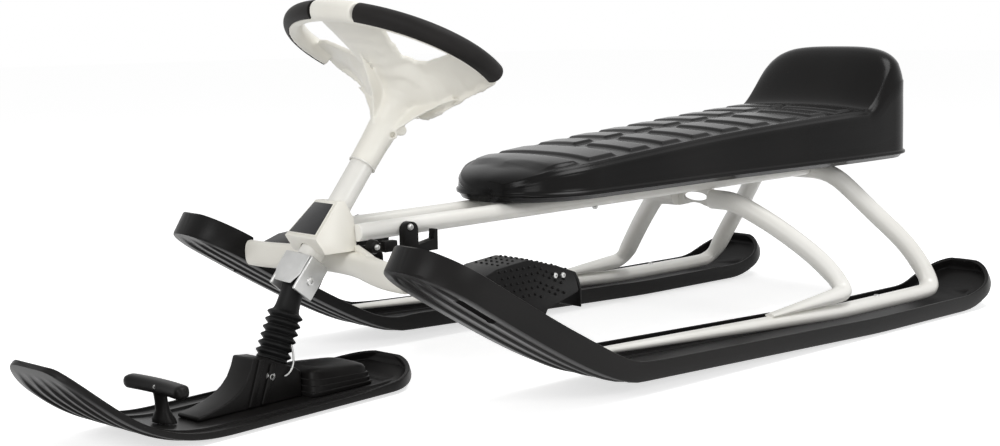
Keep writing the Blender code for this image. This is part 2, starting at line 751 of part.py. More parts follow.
seam = 3 * GAP / WHEEL_HALF_WIDTH
half_turns = [0.0, 0.12, GRIP_START - seam, GRIP_START - seam / 2]
half_keep = [0, 0, 0, -1]
for step in range(1, 15):
    half_turns.append(GRIP_START + (RIM_END - GRIP_START) * step / 14)
    half_keep.append(-1)
turns = [-t for t in reversed(half_turns[1:])] + half_turns
keeps = list(reversed(half_keep[1:])) + half_keep
front_rim = split_tube("wheel_rim", turns, keeps, WHITE, 0.35)
grip_turns = [GRIP_START + seam] + [t for t in half_turns if t > GRIP_START + seam]
left_grip = split_tube("wheel_grip_left", grip_turns, [1] * len(grip_turns), BLACK, 0.6)
right_grip = mirrored(left_grip, "wheel_grip_right")

# two arms in one dished sweep from corner to corner, and a stem to the front
DISH = -0.0240               # the middle of the wheel lies this far below its rim
arm_end = 0.95 * WHEEL_HALF_WIDTH
arm_line = []
for share in (-1.0, -0.86, -0.64, -0.40, -0.18, 0.0, 0.18, 0.40, 0.64, 0.86, 1.0):
    low = 1.0 - abs(share) ** 1.6
    arm_line.append(wheel_point(arm_end * share, -0.0080 + 0.0200 * low,
                                WHEEL_TILT * 0.05 + (DISH - 0.008) * low))
arm_half = [0.0100, 0.0150, 0.0195, 0.0200, 0.0205, 0.0210, 0.0205, 0.0200, 0.0195, 0.0150,
            0.0100]
arms = tube("wheel_arms", arm_line, arm_half, 0.0045, WHITE, 0.35, sides=16, up=UP_AXIS,
            power=0.6)
stem_line = [wheel_point(0, v, w) for v, w in ((-0.1220, -0.0090), (-0.1000, -0.0120),
                                               (-0.0700, -0.0190), (-0.0300, -0.0290),
                                               (0.0100, -0.0330))]
stem = tube("wheel_stem", stem_line, [0.0370, 0.0320, 0.0270, 0.0250, 0.0240], 0.0046, WHITE,
            0.35, sides=14, up=UP_AXIS, power=0.62)


def turned_body(name, profile, base, along, sides, rgb, rough):
    """Body of revolution: profile is (distance, radius) along an axis from base."""
    along = along.normalized()
    side = SIDE_AXIS
    over = along.cross(side).normalized()
    rings = []
    for distance, radius in profile:
        ring = []
        for j in range(sides):
            angle = 2 * math.pi * j / sides
            ring.append(base + along * distance
                        + (side * math.cos(angle) + over * math.sin(angle)) * radius)
        rings.append(ring)
    verts, faces = loft(rings)
    return make(name, verts, faces, rgb, rough)


hub_profile = [(HUB_LOW, 0.0146), (0.1000, 0.0150), (0.1250, 0.0164), (0.1400, 0.0190),
               (0.1490, 0.0225), (0.1555, 0.0270)]
hub = turned_body("wheel_hub", hub_profile, AXIS_POINT, UP_AXIS, 24, WHITE, 0.35)


def wheel_rib(name, direction, reach, climb):
    """Web from the hub outward, under an arm that climbs toward the rim."""
    u, v = direction
    out = (SIDE_AXIS * u + BACK_AXIS * v).normalized()
    outline = [(0.008, 0.100), (0.020, 0.120), (0.036, 0.139), (reach * 0.75, 0.149 + climb),
               (reach, 0.158 + climb), (reach * 0.75, 0.154 + climb), (0.008, 0.153)]
    return prism(name, outline, (AXIS_POINT, out, UP_AXIS), -0.0020, 0.0020, WHITE, 0.35)


ribs = [wheel_rib("rib_front", (0.0, -1.0), 0.086, 0.004),
        wheel_rib("rib_left", (1.0, 0.10), 0.086, 0.014),
        wheel_rib("rib_right", (-1.0, 0.10), 0.086, 0.014)]
hub.name = "steering_wheel"
boolean(hub, [stem, arms] + ribs + [front_rim], "UNION")
for piece in (hub, left_grip, right_grip):
    steer_upper(piece)


FORK_UNDER = COLUMN_LOW - 0.0043     # lower face of the fork's bridge


def fork():
    """Inverted bracket under the column that carries the spring leg."""
    low, under, over = -0.080, FORK_UNDER, COLUMN_LOW - GAP
    inner, outer = 0.0160, 0.0200
    outline = [(-outer, low), (-outer, over), (outer, over), (outer, low),
               (inner, low), (inner, under), (-inner, under), (-inner, low)]
    return prism("steering_fork", outline, (AXIS_POINT, SIDE_AXIS, UP_AXIS),
                 -0.0140, 0.0140, GREY, 0.35, 0.9)


steer_upper(fork())

# the boot's neck reaches up to the bridge of the fork
NECK = 0.0116
to_bridge = (AXIS_POINT + UP_AXIS * FORK_UNDER - BOOT_BASE).dot(UP_AXIS)
lean_share = BOOT_LEAN.dot(UP_AXIS)
NECK_CLEAR = 0.0004
neck_top = (to_bridge - NECK * math.sqrt(1 - lean_share ** 2) - NECK_CLEAR) / lean_share
FOLDS = 6
FOLD_PITCH = 0.0080
boot_profile = [(0.0, 0.0165), (0.0025, 0.0165)]
for turn_number in range(FOLDS):
    start = 0.0030 + turn_number * FOLD_PITCH
    boot_profile += [(start + 0.0008, 0.0145), (start + 0.0034, 0.0188),
                     (start + 0.0052, 0.0190), (start + FOLD_PITCH - 0.0002, 0.0147)]
boot_profile += [(0.0030 + FOLDS * FOLD_PITCH + 0.002, NECK), (neck_top, NECK)]
boot = turned_body("spring_boot", boot_profile, BOOT_BASE, BOOT_LEAN, 20, BLACK, 0.6)
steer_lower(boot)
steer_lower(steer_ski)

DECK = SOLE_TOP + GAP                      # upper face of the steering ski's sole
BOOT_FACE = BOOT_BASE - BOOT_LEAN * GAP
ACROSS = Vector((0.0, BOOT_LEAN.z, -BOOT_LEAN.y))


def riser():
    """Upright casting on the ski with a slanted seat for the spring leg."""
    front = BOOT_FACE - ACROSS * 0.0205
    rear = BOOT_FACE + ACROSS * 0.0200
    outline = [(-0.4580, DECK), (-0.4580, 0.0110), (-0.4300, 0.0160), (-0.4080, 0.0265),
               (-0.3960, 0.0400), (-0.3890, 0.0575), (-0.3720, front.z + 0.0020),
               (front.y, front.z), (rear.y, rear.z), (-0.3190, 0.0330), (-0.3190, DECK)]
    return prism("ski_riser", outline,
                 (Vector((0, 0, 0)), Vector((0, 1, 0)), Vector((0, 0, 1))),
                 -0.0165, 0.0165, BLACK, 0.45)


steer_lower(riser())


def reel_housing():
    """Box behind the riser that holds the tow rope reel."""
    outline = [(-0.3187, DECK), (-0.3187, 0.0340), (-0.3120, 0.0395), (-0.2600, 0.0370),
               (-0.2380, 0.0310), (-0.2310, 0.0250), (-0.2310, DECK)]
    low = [Vector((-0.0340, y, z)) for y, z in outline]
    mid_low = [Vector((-0.0300, y, min(z, 0.0400) + (0.0015 if z > DECK else 0)))
               for y, z in outline]
    mid_high = [Vector((-p.x, p.y, p.z)) for p in mid_low]
    high = [Vector((0.0340, p.y, p.z)) for p in low]
    verts, faces = loft([low, mid_low, mid_high, high])
    return make("tow_reel_housing", verts, faces, BLACK, 0.5)


steer_lower(reel_housing())


def tow_handle():
    """T handle of the tow rope, parked on the front of the ski."""
    bar = tube("tow_handle", rounded([(-0.043, -0.4830, 0.0445), (0.0, -0.4800, 0.0440),
                                      (0.043, -0.4830, 0.0445)], 0.02, 3),
               0.0070, 0.0055, BLACK, 0.5, sides=12, power=0.8)
    foot = DECK + 0.0007
    stem = prism("stem", [(-0.4840, foot + front_sole(-0.4840)), (-0.4830, 0.0160),
                          (-0.4860, 0.0440), (-0.4740, 0.0440), (-0.4700, 0.0160),
                          (-0.4660, foot), (-0.4725, foot + front_sole(-0.4725))],
                 (Vector((0, 0, 0)), Vector((0, 1, 0)), Vector((0, 0, 1))),
                 -0.0080, 0.0080, BLACK, 0.5)
    return boolean(bar, [stem], "UNION")


steer_lower(tow_handle())
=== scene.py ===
import math

import bpy
from mathutils import Matrix, Vector
from mathutils.bvhtree import BVHTree


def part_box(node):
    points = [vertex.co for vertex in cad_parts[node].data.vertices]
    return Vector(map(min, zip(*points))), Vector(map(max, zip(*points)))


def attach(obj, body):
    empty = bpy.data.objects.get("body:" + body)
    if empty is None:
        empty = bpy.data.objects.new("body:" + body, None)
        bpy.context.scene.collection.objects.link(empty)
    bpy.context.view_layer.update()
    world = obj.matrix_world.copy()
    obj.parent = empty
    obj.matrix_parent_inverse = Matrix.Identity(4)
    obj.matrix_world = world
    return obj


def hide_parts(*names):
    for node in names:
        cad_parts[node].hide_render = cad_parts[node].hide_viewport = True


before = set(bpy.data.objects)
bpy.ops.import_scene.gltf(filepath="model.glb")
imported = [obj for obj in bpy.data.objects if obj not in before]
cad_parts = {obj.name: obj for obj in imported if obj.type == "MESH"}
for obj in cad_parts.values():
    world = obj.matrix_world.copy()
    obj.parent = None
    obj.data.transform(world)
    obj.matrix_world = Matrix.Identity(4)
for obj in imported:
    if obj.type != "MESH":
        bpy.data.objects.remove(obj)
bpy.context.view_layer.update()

bpy.ops.object.select_all(action="DESELECT")


# The studio: a wide pale floor that keeps the sled's shadow, soft lamps on both sides and
# overhead, and the camera low beside the steering ski, where the photograph was taken.
FLOOR_DROP = 0.0008
FLOOR_GLOW = 0.66
AIR_LIGHT = 0.38


def seen_directly(tree):
    """1 on the rays that show the background itself, and 0 on those that only light the sled."""
    ray = tree.nodes.new("ShaderNodeLightPath")
    found = ray.outputs["Is Camera Ray"]
    for kind in ("Is Transmission Ray", "Is Glossy Ray"):
        either = tree.nodes.new("ShaderNodeMath")
        either.operation = "MAXIMUM"
        tree.links.new(found, either.inputs[0])
        tree.links.new(ray.outputs[kind], either.inputs[1])
        found = either.outputs[0]
    return found


bpy.ops.mesh.primitive_plane_add(size=30, location=(0, 0, -FLOOR_DROP))
floor = bpy.context.object
floor.name = "studio_floor"
paper = bpy.data.materials.new("studio_paper")
paper.use_nodes = True
nodes, links = paper.node_tree.nodes, paper.node_tree.links
nodes.clear()
shadow_part = nodes.new("ShaderNodeBsdfDiffuse")
shadow_part.inputs["Color"].default_value = (0.86, 0.86, 0.86, 1)
white_part = nodes.new("ShaderNodeEmission")
lift = nodes.new("ShaderNodeMath")
lift.operation = "MULTIPLY"
lift.inputs[1].default_value = FLOOR_GLOW
links.new(seen_directly(paper.node_tree), lift.inputs[0])
links.new(lift.outputs[0], white_part.inputs["Strength"])
both = nodes.new("ShaderNodeAddShader")
links.new(shadow_part.outputs[0], both.inputs[0])
links.new(white_part.outputs[0], both.inputs[1])
paper_out = nodes.new("ShaderNodeOutputMaterial")
links.new(both.outputs[0], paper_out.inputs["Surface"])
floor.data.materials.append(paper)

world = bpy.data.worlds.new("studio_air")
bpy.context.scene.world = world
world.use_nodes = True
nodes, links = world.node_tree.nodes, world.node_tree.links
nodes.clear()
air = nodes.new("ShaderNodeBackground")
air.inputs["Color"].default_value = (1, 1, 1, 1)
level = nodes.new("ShaderNodeMapRange")
level.inputs["To Min"].default_value = AIR_LIGHT
level.inputs["To Max"].default_value = 1.0
links.new(seen_directly(world.node_tree), level.inputs["Value"])
links.new(level.outputs["Result"], air.inputs["Strength"])
air_out = nodes.new("ShaderNodeOutputWorld")
links.new(air.outputs[0], air_out.inputs["Surface"])


def soft_lamp(name, place, aim, wide, high, watts):
    bpy.ops.object.light_add(type="AREA", location=place)
    lamp = bpy.context.object
    lamp.name = name
    lamp.data.shape = "RECTANGLE"
    lamp.data.size = wide
    lamp.data.size_y = high
    lamp.data.energy = watts
    lamp.rotation_euler = (Vector(aim) - Vector(place)).to_track_quat("-Z", "Y").to_euler()


soft_lamp("lamp_overhead", (0.5, 0.6, 2.1), (0, 0.1, 0.15), 1.1, 0.7, 19)
soft_lamp("lamp_front", (0.6, -2.0, 1.3), (0, 0, 0.15), 0.9, 0.6, 12)
soft_lamp("lamp_side", (2.2, 0.3, 1.0), (0, 0.1, 0.12), 0.8, 0.5, 10)
soft_lamp("lamp_low", (1.7, -1.9, 0.35), (0, -0.1, 0.18), 1.0, 0.5, 7)

camera_data = bpy.data.cameras.new("camera")
camera_data.lens = 54
camera_data.sensor_width = 36
camera = bpy.data.objects.new("camera", camera_data)
bpy.context.scene.collection.objects.link(camera)
bpy.context.scene.camera = camera
look = Vector((-0.73552438, 0.66483081, -0.13039896)).normalized()
right = Vector((0.67202109, 0.74036137, -0.01589619)).normalized()
above = right.cross(look).normalized()
stand = Vector((1.24791434, -1.15962164, 0.37497854))
camera.matrix_world = Matrix(((right.x, above.x, -look.x, stand.x),
                              (right.y, above.y, -look.y, stand.y),
                              (right.z, above.z, -look.z, stand.z), (0, 0, 0, 1)))
bpy.context.scene.view_settings.view_transform = "Standard"


# The bent frame: two straight main tubes, the two front legs and one long hoop that makes
# the rear legs and both runners. Drawn steel tube, bent cold, welded and powder coated off-white.
def finish_of(name, dark, light, rough, patch, grain, press, metal=0.0, specular=0.5,
              gloss_coat=0.0, stretch=(1, 1, 1)):
    """A finish whose colour and gloss wander softly and whose skin has a fine pressed grain."""
    made = bpy.data.materials.new(name)
    made.use_nodes = True
    tree = made.node_tree
    shader = tree.nodes["Principled BSDF"]
    shader.inputs["Metallic"].default_value = metal
    shader.inputs["Specular IOR Level"].default_value = specular
    shader.inputs["Coat Weight"].default_value = gloss_coat
    shader.inputs["Coat Roughness"].default_value = 0.12
    place = tree.nodes.new("ShaderNodeTexCoord")
    spread = tree.nodes.new("ShaderNodeMapping")
    spread.inputs["Scale"].default_value = stretch
    tree.links.new(place.outputs["Object"], spread.inputs["Vector"])
    cloud = tree.nodes.new("ShaderNodeTexNoise")
    cloud.inputs["Scale"].default_value = patch
    cloud.inputs["Detail"].default_value = 5
    tree.links.new(spread.outputs["Vector"], cloud.inputs["Vector"])
    ramp = tree.nodes.new("ShaderNodeValToRGB")
    ramp.color_ramp.elements[0].position = 0.34
    ramp.color_ramp.elements[1].position = 0.66
    ramp.color_ramp.elements[0].color = (*dark, 1)
    ramp.color_ramp.elements[1].color = (*light, 1)
    tree.links.new(cloud.outputs["Fac"], ramp.inputs["Fac"])
    tree.links.new(ramp.outputs["Color"], shader.inputs["Base Color"])
    gloss = tree.nodes.new("ShaderNodeMapRange")
    gloss.inputs["To Min"].default_value = rough[0]
    gloss.inputs["To Max"].default_value = rough[1]
    tree.links.new(cloud.outputs["Fac"], gloss.inputs["Value"])
    tree.links.new(gloss.outputs["Result"], shader.inputs["Roughness"])
    fine = tree.nodes.new("ShaderNodeTexNoise")
    fine.inputs["Scale"].default_value = grain
    fine.inputs["Detail"].default_value = 3
    tree.links.new(spread.outputs["Vector"], fine.inputs["Vector"])
    bump = tree.nodes.new("ShaderNodeBump")
    bump.inputs["Distance"].default_value = 0.0004
    bump.inputs["Strength"].default_value = press
    tree.links.new(fine.outputs["Fac"], bump.inputs["Height"])
    tree.links.new(bump.outputs["Normal"], shader.inputs["Normal"])
    return made


def pick(piece):
    bpy.ops.object.select_all(action="DESELECT")
    piece.select_set(True)
    bpy.context.view_layer.objects.active = piece


def twin(piece, name):
    """Another object at the origin with its own copy of a mesh."""
    other = bpy.data.objects.new(name, piece.data.copy())
    bpy.context.scene.collection.objects.link(other)
    return other


def copy_of_node(node, name):
    """A working copy of a CAD node, its loose triangles merged into one skin of quads."""
    piece = twin(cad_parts[node], name)
    pick(piece)
    bpy.ops.object.mode_set(mode="EDIT")
    bpy.ops.mesh.select_all(action="SELECT")
    bpy.ops.mesh.remove_doubles(threshold=0.00001)
    bpy.ops.mesh.tris_convert_to_quads(face_threshold=math.radians(50),
                                       shape_threshold=math.radians(60))
    bpy.ops.mesh.normals_make_consistent(inside=False)
    bpy.ops.object.mode_set(mode="OBJECT")
    return piece


def use(piece, kind, **settings):
    """Add one modifier, set it and apply it."""
    pick(piece)
    tool = piece.modifiers.new(kind.lower(), kind)
    for name, value in settings.items():
        setattr(tool, name, value)
    bpy.ops.object.modifier_apply(modifier=tool.name)


def round_edges(piece, width, segments, degrees=30):
    """Bevel every edge that is sharper than an angle."""
    use(piece, "BEVEL", width=width, segments=segments, limit_method="ANGLE",
        angle_limit=math.radians(degrees))


def dress(piece, finish, slot, body, *nodes, angle=35):
    """Shade a finished piece, give it its finish and let it ride on a body."""
    pick(piece)
    bpy.ops.object.shade_smooth_by_angle(angle=math.radians(angle))
    piece.data.materials.clear()
    piece.data.materials.append(finish)
    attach(piece, body)
    if nodes:
        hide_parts(*nodes)


RUNNER_X = 0.190
RUNNER_START = Vector((0, -0.1180, 0.0425))
RUNNER_END_RING = 0.004
FOOT_TALL = 0.06
FOOT_LONG = 0.020


def squeeze_sideways(vertex, share):
    """Bring a vertex nearer to the middle of its runner."""
    middle = math.copysign(RUNNER_X, vertex.co.x)
    vertex.co.x = middle + (vertex.co.x - middle) * share


def flatten_runner_ends(tube):
    """Flatten the front end of both runners and lay it up the rise of the ski."""
    end_y = min(vertex.co.y for vertex in tube.data.vertices)
    end = [vertex for vertex in tube.data.vertices if vertex.co.y < end_y + RUNNER_END_RING]
    heights = [vertex.co.z for vertex in end]
    middle = (min(heights) + max(heights)) / 2
    for vertex in end:
        squeeze_sideways(vertex, 0.45)
        vertex.co.y = RUNNER_START.y
        vertex.co.z = RUNNER_START.z + (vertex.co.z - middle) * 0.35


def flatten_foot(tube):
    """Hammer the end of a leg flat and narrow where it lies on the runner."""
    bottom = min(vertex.co.z for vertex in tube.data.vertices)
    low = [vertex for vertex in tube.data.vertices if vertex.co.z < FOOT_TALL]
    end_y = min(vertex.co.y for vertex in low)
    for vertex in low:
        if vertex.co.y < end_y + FOOT_LONG:
            vertex.co.z = bottom + 0.0004 + (vertex.co.z - bottom) * 0.25
            squeeze_sideways(vertex, 0.55)


powder_coat = finish_of("powder_coat", (0.80, 0.785, 0.735), (0.85, 0.84, 0.80), (0.26, 0.36),
                        9, 900, 0.10, gloss_coat=0.15)
for node in ("main_tube_left", "main_tube_right", "front_leg_left", "front_leg_right",
             "rear_hoop", "front_web_plate"):
    tube = copy_of_node(node, node + "_steel")
    if node == "rear_hoop":
        flatten_runner_ends(tube)
    if node in ("front_leg_left", "front_leg_right"):
        flatten_foot(tube)
    if node == "front_web_plate":
        round_edges(tube, 0.0005, 2, 45)
    else:
        round_edges(tube, 0.0012, 2, 60)
        use(tube, "SUBSURF", levels=2, render_levels=2)
    dress(tube, powder_coat, "white_paint", "frame", node, angle=40)


# The two rear skis: deep injection-moulded trays of black polyethylene with a rolled rim,
# a tall wall round the tip, three glide ridges underneath and long stiffening ribs inside.
def ease(value, low, high):
    t = min(1.0, max(0.0, (value - low) / (high - low)))
    return t * t * (3 - 2 * t)


def lay_skin(name, rings):
    """A flat grid laid row by row along closed rings, its seam merged and its ends filled."""
    rows, around = len(rings), len(rings[0])
    bpy.ops.mesh.primitive_grid_add(x_subdivisions=around, y_subdivisions=rows - 1, size=1)
    piece = bpy.context.object
    piece.name = name
    flat = []
    for ring in rings:
        for point in list(ring) + [ring[0]]:
            flat.extend(point)
    piece.data.vertices.foreach_set("co", flat)
    piece.data.update()
    bpy.ops.object.mode_set(mode="EDIT")
    bpy.ops.mesh.select_all(action="SELECT")
    bpy.ops.mesh.remove_doubles(threshold=0.000002)
    bpy.ops.mesh.select_all(action="DESELECT")
    bpy.ops.mesh.select_non_manifold(extend=False)
    bpy.ops.mesh.edge_face_add()
    bpy.ops.mesh.select_all(action="SELECT")
    bpy.ops.mesh.normals_make_consistent(inside=False)
    bpy.ops.object.mode_set(mode="OBJECT")
    return piece


SKI_WALL = 0.0035
SKI_SOLE = 0.0045
RIDGE_DEEP = 0.0022


def ski_tray(name, tip_y, tail_y, bend_y, tip_rise, tail_rise, width, walls, corner, tail_bend,
             lift, ridges, ridge_half, ribs, curl=None):
    """One moulded ski. walls(y) gives both wall heights; ridges and ribs are shares of the
    half width, the ridges under the sole and the ribs on its upper face."""
    def sole(y):
        rise = 0.0
        if y < bend_y:
            t = (bend_y - y) / (bend_y - tip_y)
            rise = tip_rise * (t ** curl if curl else 1.28 * t * t / (0.28 + t))
        elif y > tail_bend:
            rise = tail_rise * ((y - tail_bend) / (tail_y - tail_bend)) ** 2.0
        return rise + lift(y)

    def half(distance, radius):
        if distance >= radius:
            return width / 2
        distance = max(distance, 0.0)
        return width / 2 - radius + math.sqrt(max(0.0, radius ** 2 - (radius - distance) ** 2))

    front_r, back_r = corner
    stations = set()
    for end, r, way in ((tip_y, front_r, 1), (tail_y, back_r, -1)):
        for step in range(15):
            stations.add(end + way * r * (1 - math.cos(math.pi / 2 * step / 14)))
        for d in (0.0005, 0.0014, 0.0026, SKI_WALL - 0.0002, SKI_WALL + 0.0003,
                  SKI_WALL + 0.0012, SKI_WALL + 0.0030, SKI_WALL + 0.0055):
            stations.add(end + way * d)
    count = 70
    for step in range(1, count):
        stations.add(tip_y + front_r + (tail_y - back_r - tip_y - front_r) * step / count)
    kept = []
    for y in sorted(stations):
        if not kept or y - kept[-1] > 0.00025:
            kept.append(y)
    rings = []
    for y in kept:
        slope = (sole(y + 0.001) - sole(y - 0.001)) / 0.002
        normal = Vector((0, -slope, 1)).normalized()
        base = Vector((0, y, sole(y) + RIDGE_DEEP))
        to_tip, to_tail = y - tip_y, tail_y - y
        near = min(to_tip, to_tail)
        a = min(half(to_tip, front_r), half(to_tail, back_r))
        left, right = walls(y)
        inside = near - SKI_WALL
        inner = min(half(to_tip - SKI_WALL, front_r), half(to_tail - SKI_WALL, back_r))
        inner = min(inner, a) - SKI_WALL if inside > 0 else max(a - SKI_WALL, a * 0.5)
        depth = ease(inside, 0.0, 0.0050)        # 0 on the end wall's top, 1 down on the sole
        sink = 0.0016 * (1 - ease(near, 0.0, 0.0016))
        fade = ease(near, 0.006, 0.030) * RIDGE_DEEP
        rib_fade = ease(near, 0.030, 0.055) * 0.0020
        edge = min(0.0030, a * 0.2)
        ring = [(-a + 0.0009, left - sink), (-a + 0.0002, left - 0.0005 - sink),
                (-a, left - 0.0014 - sink), (-a, (left + edge) / 2), (-a, edge),
                (-a + edge * 0.3, edge * 0.3), (-a + edge, 0.0)]
        for share in ridges:
            c, w = share * a, min(ridge_half, a * 0.13)
            ring += [(c - w, 0.0), (c - w * 0.72, -fade * 0.85), (c - w * 0.5, -fade),
                     (c + w * 0.5, -fade), (c + w * 0.72, -fade * 0.85), (c + w, 0.0)]
        ring += [(a - edge, 0.0), (a - edge * 0.3, edge * 0.3), (a, edge),
                 (a, (right + edge) / 2), (a, right - 0.0014 - sink),
                 (a - 0.0002, right - 0.0005 - sink), (a - 0.0009, right - sink)]
        low_r = SKI_SOLE * depth + (right - sink) * (1 - depth)
        low_l = SKI_SOLE * depth + (left - sink) * (1 - depth)
        ring += [(inner + 0.0009, right - sink), (inner + 0.0002, right - 0.0005 - sink),
                 (inner, right - 0.0014 - sink - (right - 0.003) * 0.1 * depth),
                 (inner, low_r + 0.0016 * depth), (inner - 0.0006, low_r + 0.0005 * depth),
                 (inner - 0.0018, low_r)]
        flat = inner - 0.0018
        for share in reversed(ribs):
            c, w = share * flat, min(0.0036, flat * 0.10)
            mix = (share + 1) / 2
            low = low_l + (low_r - low_l) * mix
            ring += [(c + w, low), (c + w * 0.6, low + rib_fade), (c - w * 0.6, low + rib_fade),
                     (c - w, low)]
        ring += [(-inner + 0.0018, low_l), (-inner + 0.0006, low_l + 0.0005 * depth),
                 (-inner, low_l + 0.0016 * depth),
                 (-inner, left - 0.0014 - sink - (left - 0.003) * 0.1 * depth),
                 (-inner - 0.0002, left - 0.0005 - sink), (-inner - 0.0009, left - sink)]
        rings.append([base + Vector((x, 0, 0)) + normal * n for x, n in ring])
    return lay_skin(name, rings), sole


LIFT_FROM = 0.360
LIFT_BLEND = 0.030
LIFT_SLOPE = 0.030


def heel_lift(y):
    """The parked sled stands a little nose up, so the rear skis leave the floor ahead of a line."""
    ahead = LIFT_FROM - y
    if ahead <= -LIFT_BLEND:
        return 0.0
    if ahead < LIFT_BLEND:
        return LIFT_SLOPE * (ahead + LIFT_BLEND) ** 2 / (4 * LIFT_BLEND)
    return LIFT_SLOPE * ahead


def rear_walls(y):
    """Heights of the inner and the outer wall."""
    outer = 0.020 + 0.007 * ease(-y, 0.02, 0.16)
    inner = 0.0124 + 0.0076 * ease(y, -0.12, -0.04) + 0.0146 * ease(-y, 0.278, 0.286)
    tail = ease(y, 0.546, 0.646) * 0.004
    return inner - tail, outer - tail


moulded_black = finish_of("moulded_black", (0.0060, 0.0058, 0.0058), (0.0110, 0.0103, 0.0100),
                          (0.28, 0.42), 7, 700, 0.16, specular=0.10, stretch=(1, 0.35, 1))
ski_x = (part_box("ski_left")[0].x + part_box("ski_left")[1].x) / 2
left_tray, rear_sole = ski_tray("ski_left_tray", tip_y=-0.330, tail_y=0.646, bend_y=-0.060,
                                tip_rise=0.132, tail_rise=0.042, width=0.109,
                                walls=rear_walls, corner=(0.050, 0.046), tail_bend=0.550,
                                lift=heel_lift, ridges=(-0.55, 0.0, 0.55), ridge_half=0.0055,
                                ribs=(-0.62, 0.62))
SLOT_X = 0.032
SLOT_FRONT = -0.290
SLOT_LONG = 0.052
SLOT_WIDE = 0.0130
SLOT_DEEP = 0.018


def cut_out(piece, cutter):
    """Take one solid out of another and drop the cutter."""
    use(piece, "BOOLEAN", operation="DIFFERENCE", solver="EXACT", object=cutter)
    bpy.data.objects.remove(cutter)


slot_low, slot_high = (Vector((SLOT_X, y, rear_sole(y) + RIDGE_DEEP))
                       for y in (SLOT_FRONT, SLOT_FRONT + SLOT_LONG))
bpy.ops.mesh.primitive_cube_add(size=1, location=(slot_low + slot_high) / 2 + Vector((0, 0, 0.002)))
slot_bar = bpy.context.object
slot_bar.scale = (SLOT_WIDE, SLOT_LONG, SLOT_DEEP)
slot_bar.rotation_euler = (math.atan2(slot_high.z - slot_low.z, SLOT_LONG), 0, 0)
bpy.ops.object.transform_apply(location=True, rotation=True, scale=True)
round_edges(slot_bar, 0.004, 4)
cut_out(left_tray, slot_bar)
right_tray = twin(left_tray, "ski_right_tray")
right_tray.data.transform(Matrix.Diagonal((-1, 1, 1, 1)))
right_tray.data.flip_normals()
for tray, side, node in ((left_tray, 1, "ski_left"), (right_tray, -1, "ski_right")):
    tray.data.transform(Matrix.Translation((side * ski_x, 0, 0)))
    dress(tray, moulded_black, "black_plastic", "frame", node, angle=38)


# The steering ski: the same black moulding, smaller, with low walls and five fine ridges
# under its upturned tip. It is laid out straight and then turned about the foot of the boot.
BOOT_BASE = Vector((0.0, -0.3435, 0.0460))
SKI_STEER = math.radians(6.2)
SKI_TURN = (Matrix.Translation(BOOT_BASE) @ Matrix.Rotation(SKI_STEER, 4, "Z")
            @ Matrix.Translation(-BOOT_BASE))


def front_walls(y):
    """Heights of both walls, which are the same here."""
    height = 0.0074 - 0.0010 * ease(-y, 0.440, 0.540) + 0.005 * ease(y, -0.30, -0.20)
    return height, height


front_tray, front_sole = ski_tray("steering_ski_tray", tip_y=-0.613, tail_y=-0.176,
                                  bend_y=-0.437, tip_rise=0.0855, tail_rise=0.013, width=0.132,
                                  walls=front_walls, corner=(0.046, 0.060), tail_bend=-0.236,
                                  lift=lambda y: 0.0, ridges=(-0.72, -0.36, 0.0, 0.36, 0.72),
                                  ridge_half=0.0040, ribs=(-0.70, 0.70), curl=2.45)
front_tray.data.transform(SKI_TURN)
dress(front_tray, moulded_black, "black_plastic", "steering", "steering_ski", angle=38)


# The seat: one blow-moulded shell of gloss black polyethylene on the two main tubes, with
# raised slanted bars beside a middle spine, a low back rest and a thin flange round its foot.
SEAT_FRONT = -0.060
SEAT_REAR = 0.628
SEAT_NOSE = 0.098
SEAT_HEEL = 0.045
TUBE_UP = 0.1714
TUBE_RISE = 0.013
TUBE_HALF = 0.0095
SEAT_GAP = 0.0006


def seat_half(y):
    """Half the seat's width."""
    grow = 0.0920 + 0.0040 * ease(y, 0.0, 0.20) + 0.0190 * ease(y, 0.20, 0.56)
    nose = max(0.0, SEAT_NOSE - (y - SEAT_FRONT)) / SEAT_NOSE
    heel = max(0.0, SEAT_HEEL - (SEAT_REAR - y)) / SEAT_HEEL
    return (grow - 0.077 * (1 - math.sqrt(max(0.0, 1 - nose ** 2)))
            - 0.032 * (1 - math.sqrt(max(0.0, 1 - heel ** 2))))


def seat_dome(x, y):
    """The shell's upper face without its raised bars."""
    t = min(1.0, abs(x) / seat_half(y))
    crown = 0.2240 + 0.098 * y - 0.050 * y * abs(y)
    nose = max(0.0, 0.070 - (y - SEAT_FRONT)) / 0.070
    crown -= 0.017 * (1 - math.sqrt(max(0.0, 1 - nose ** 2)))
    rise = 0.074 * ease(y, SEAT_REAR - 0.104, SEAT_REAR - 0.026)
    heel = max(0.0, 0.020 - (SEAT_REAR - y)) / 0.020
    rise -= 0.018 * (1 - math.sqrt(max(0.0, 1 - heel ** 2)))
    return crown - 0.007 * t ** 2.6 + rise * max(0.0, 1 - t ** 4.5) ** 0.25


BAR_START = 0.094
BAR_PITCH = 0.0535
BAR_LONG = 0.0385
BAR_TALL = 0.0032
BAR_SLOPE = 0.0068


def seat_bars(x, y):
    """Height of the cross bars, two over the whole nose and eight on each side of the spine."""
    reach = abs(x)
    edge = seat_half(y) * 0.86
    outer = 1 - ease(reach, edge - 0.0075, edge)
    if y < 0.088:
        low = max(ease(y - reach * 0.14, -0.0280, -0.0215) * (1 - ease(y, 0.0160, 0.0225)),
                  ease(y, 0.0320, 0.0385) * (1 - ease(y, 0.0740, 0.0805)))
        return BAR_TALL * outer * low
    along = (y - reach * 0.06 - BAR_START) / BAR_PITCH
    row = math.floor(along)
    if row < 0 or row > 7:
        return 0.0
    place = (along - row) * BAR_PITCH
    ends = min(ease(place, 0.0, BAR_SLOPE), 1 - ease(place, BAR_LONG - BAR_SLOPE, BAR_LONG))
    return BAR_TALL * min(ease(reach, 0.0070, 0.0125), outer) * ends


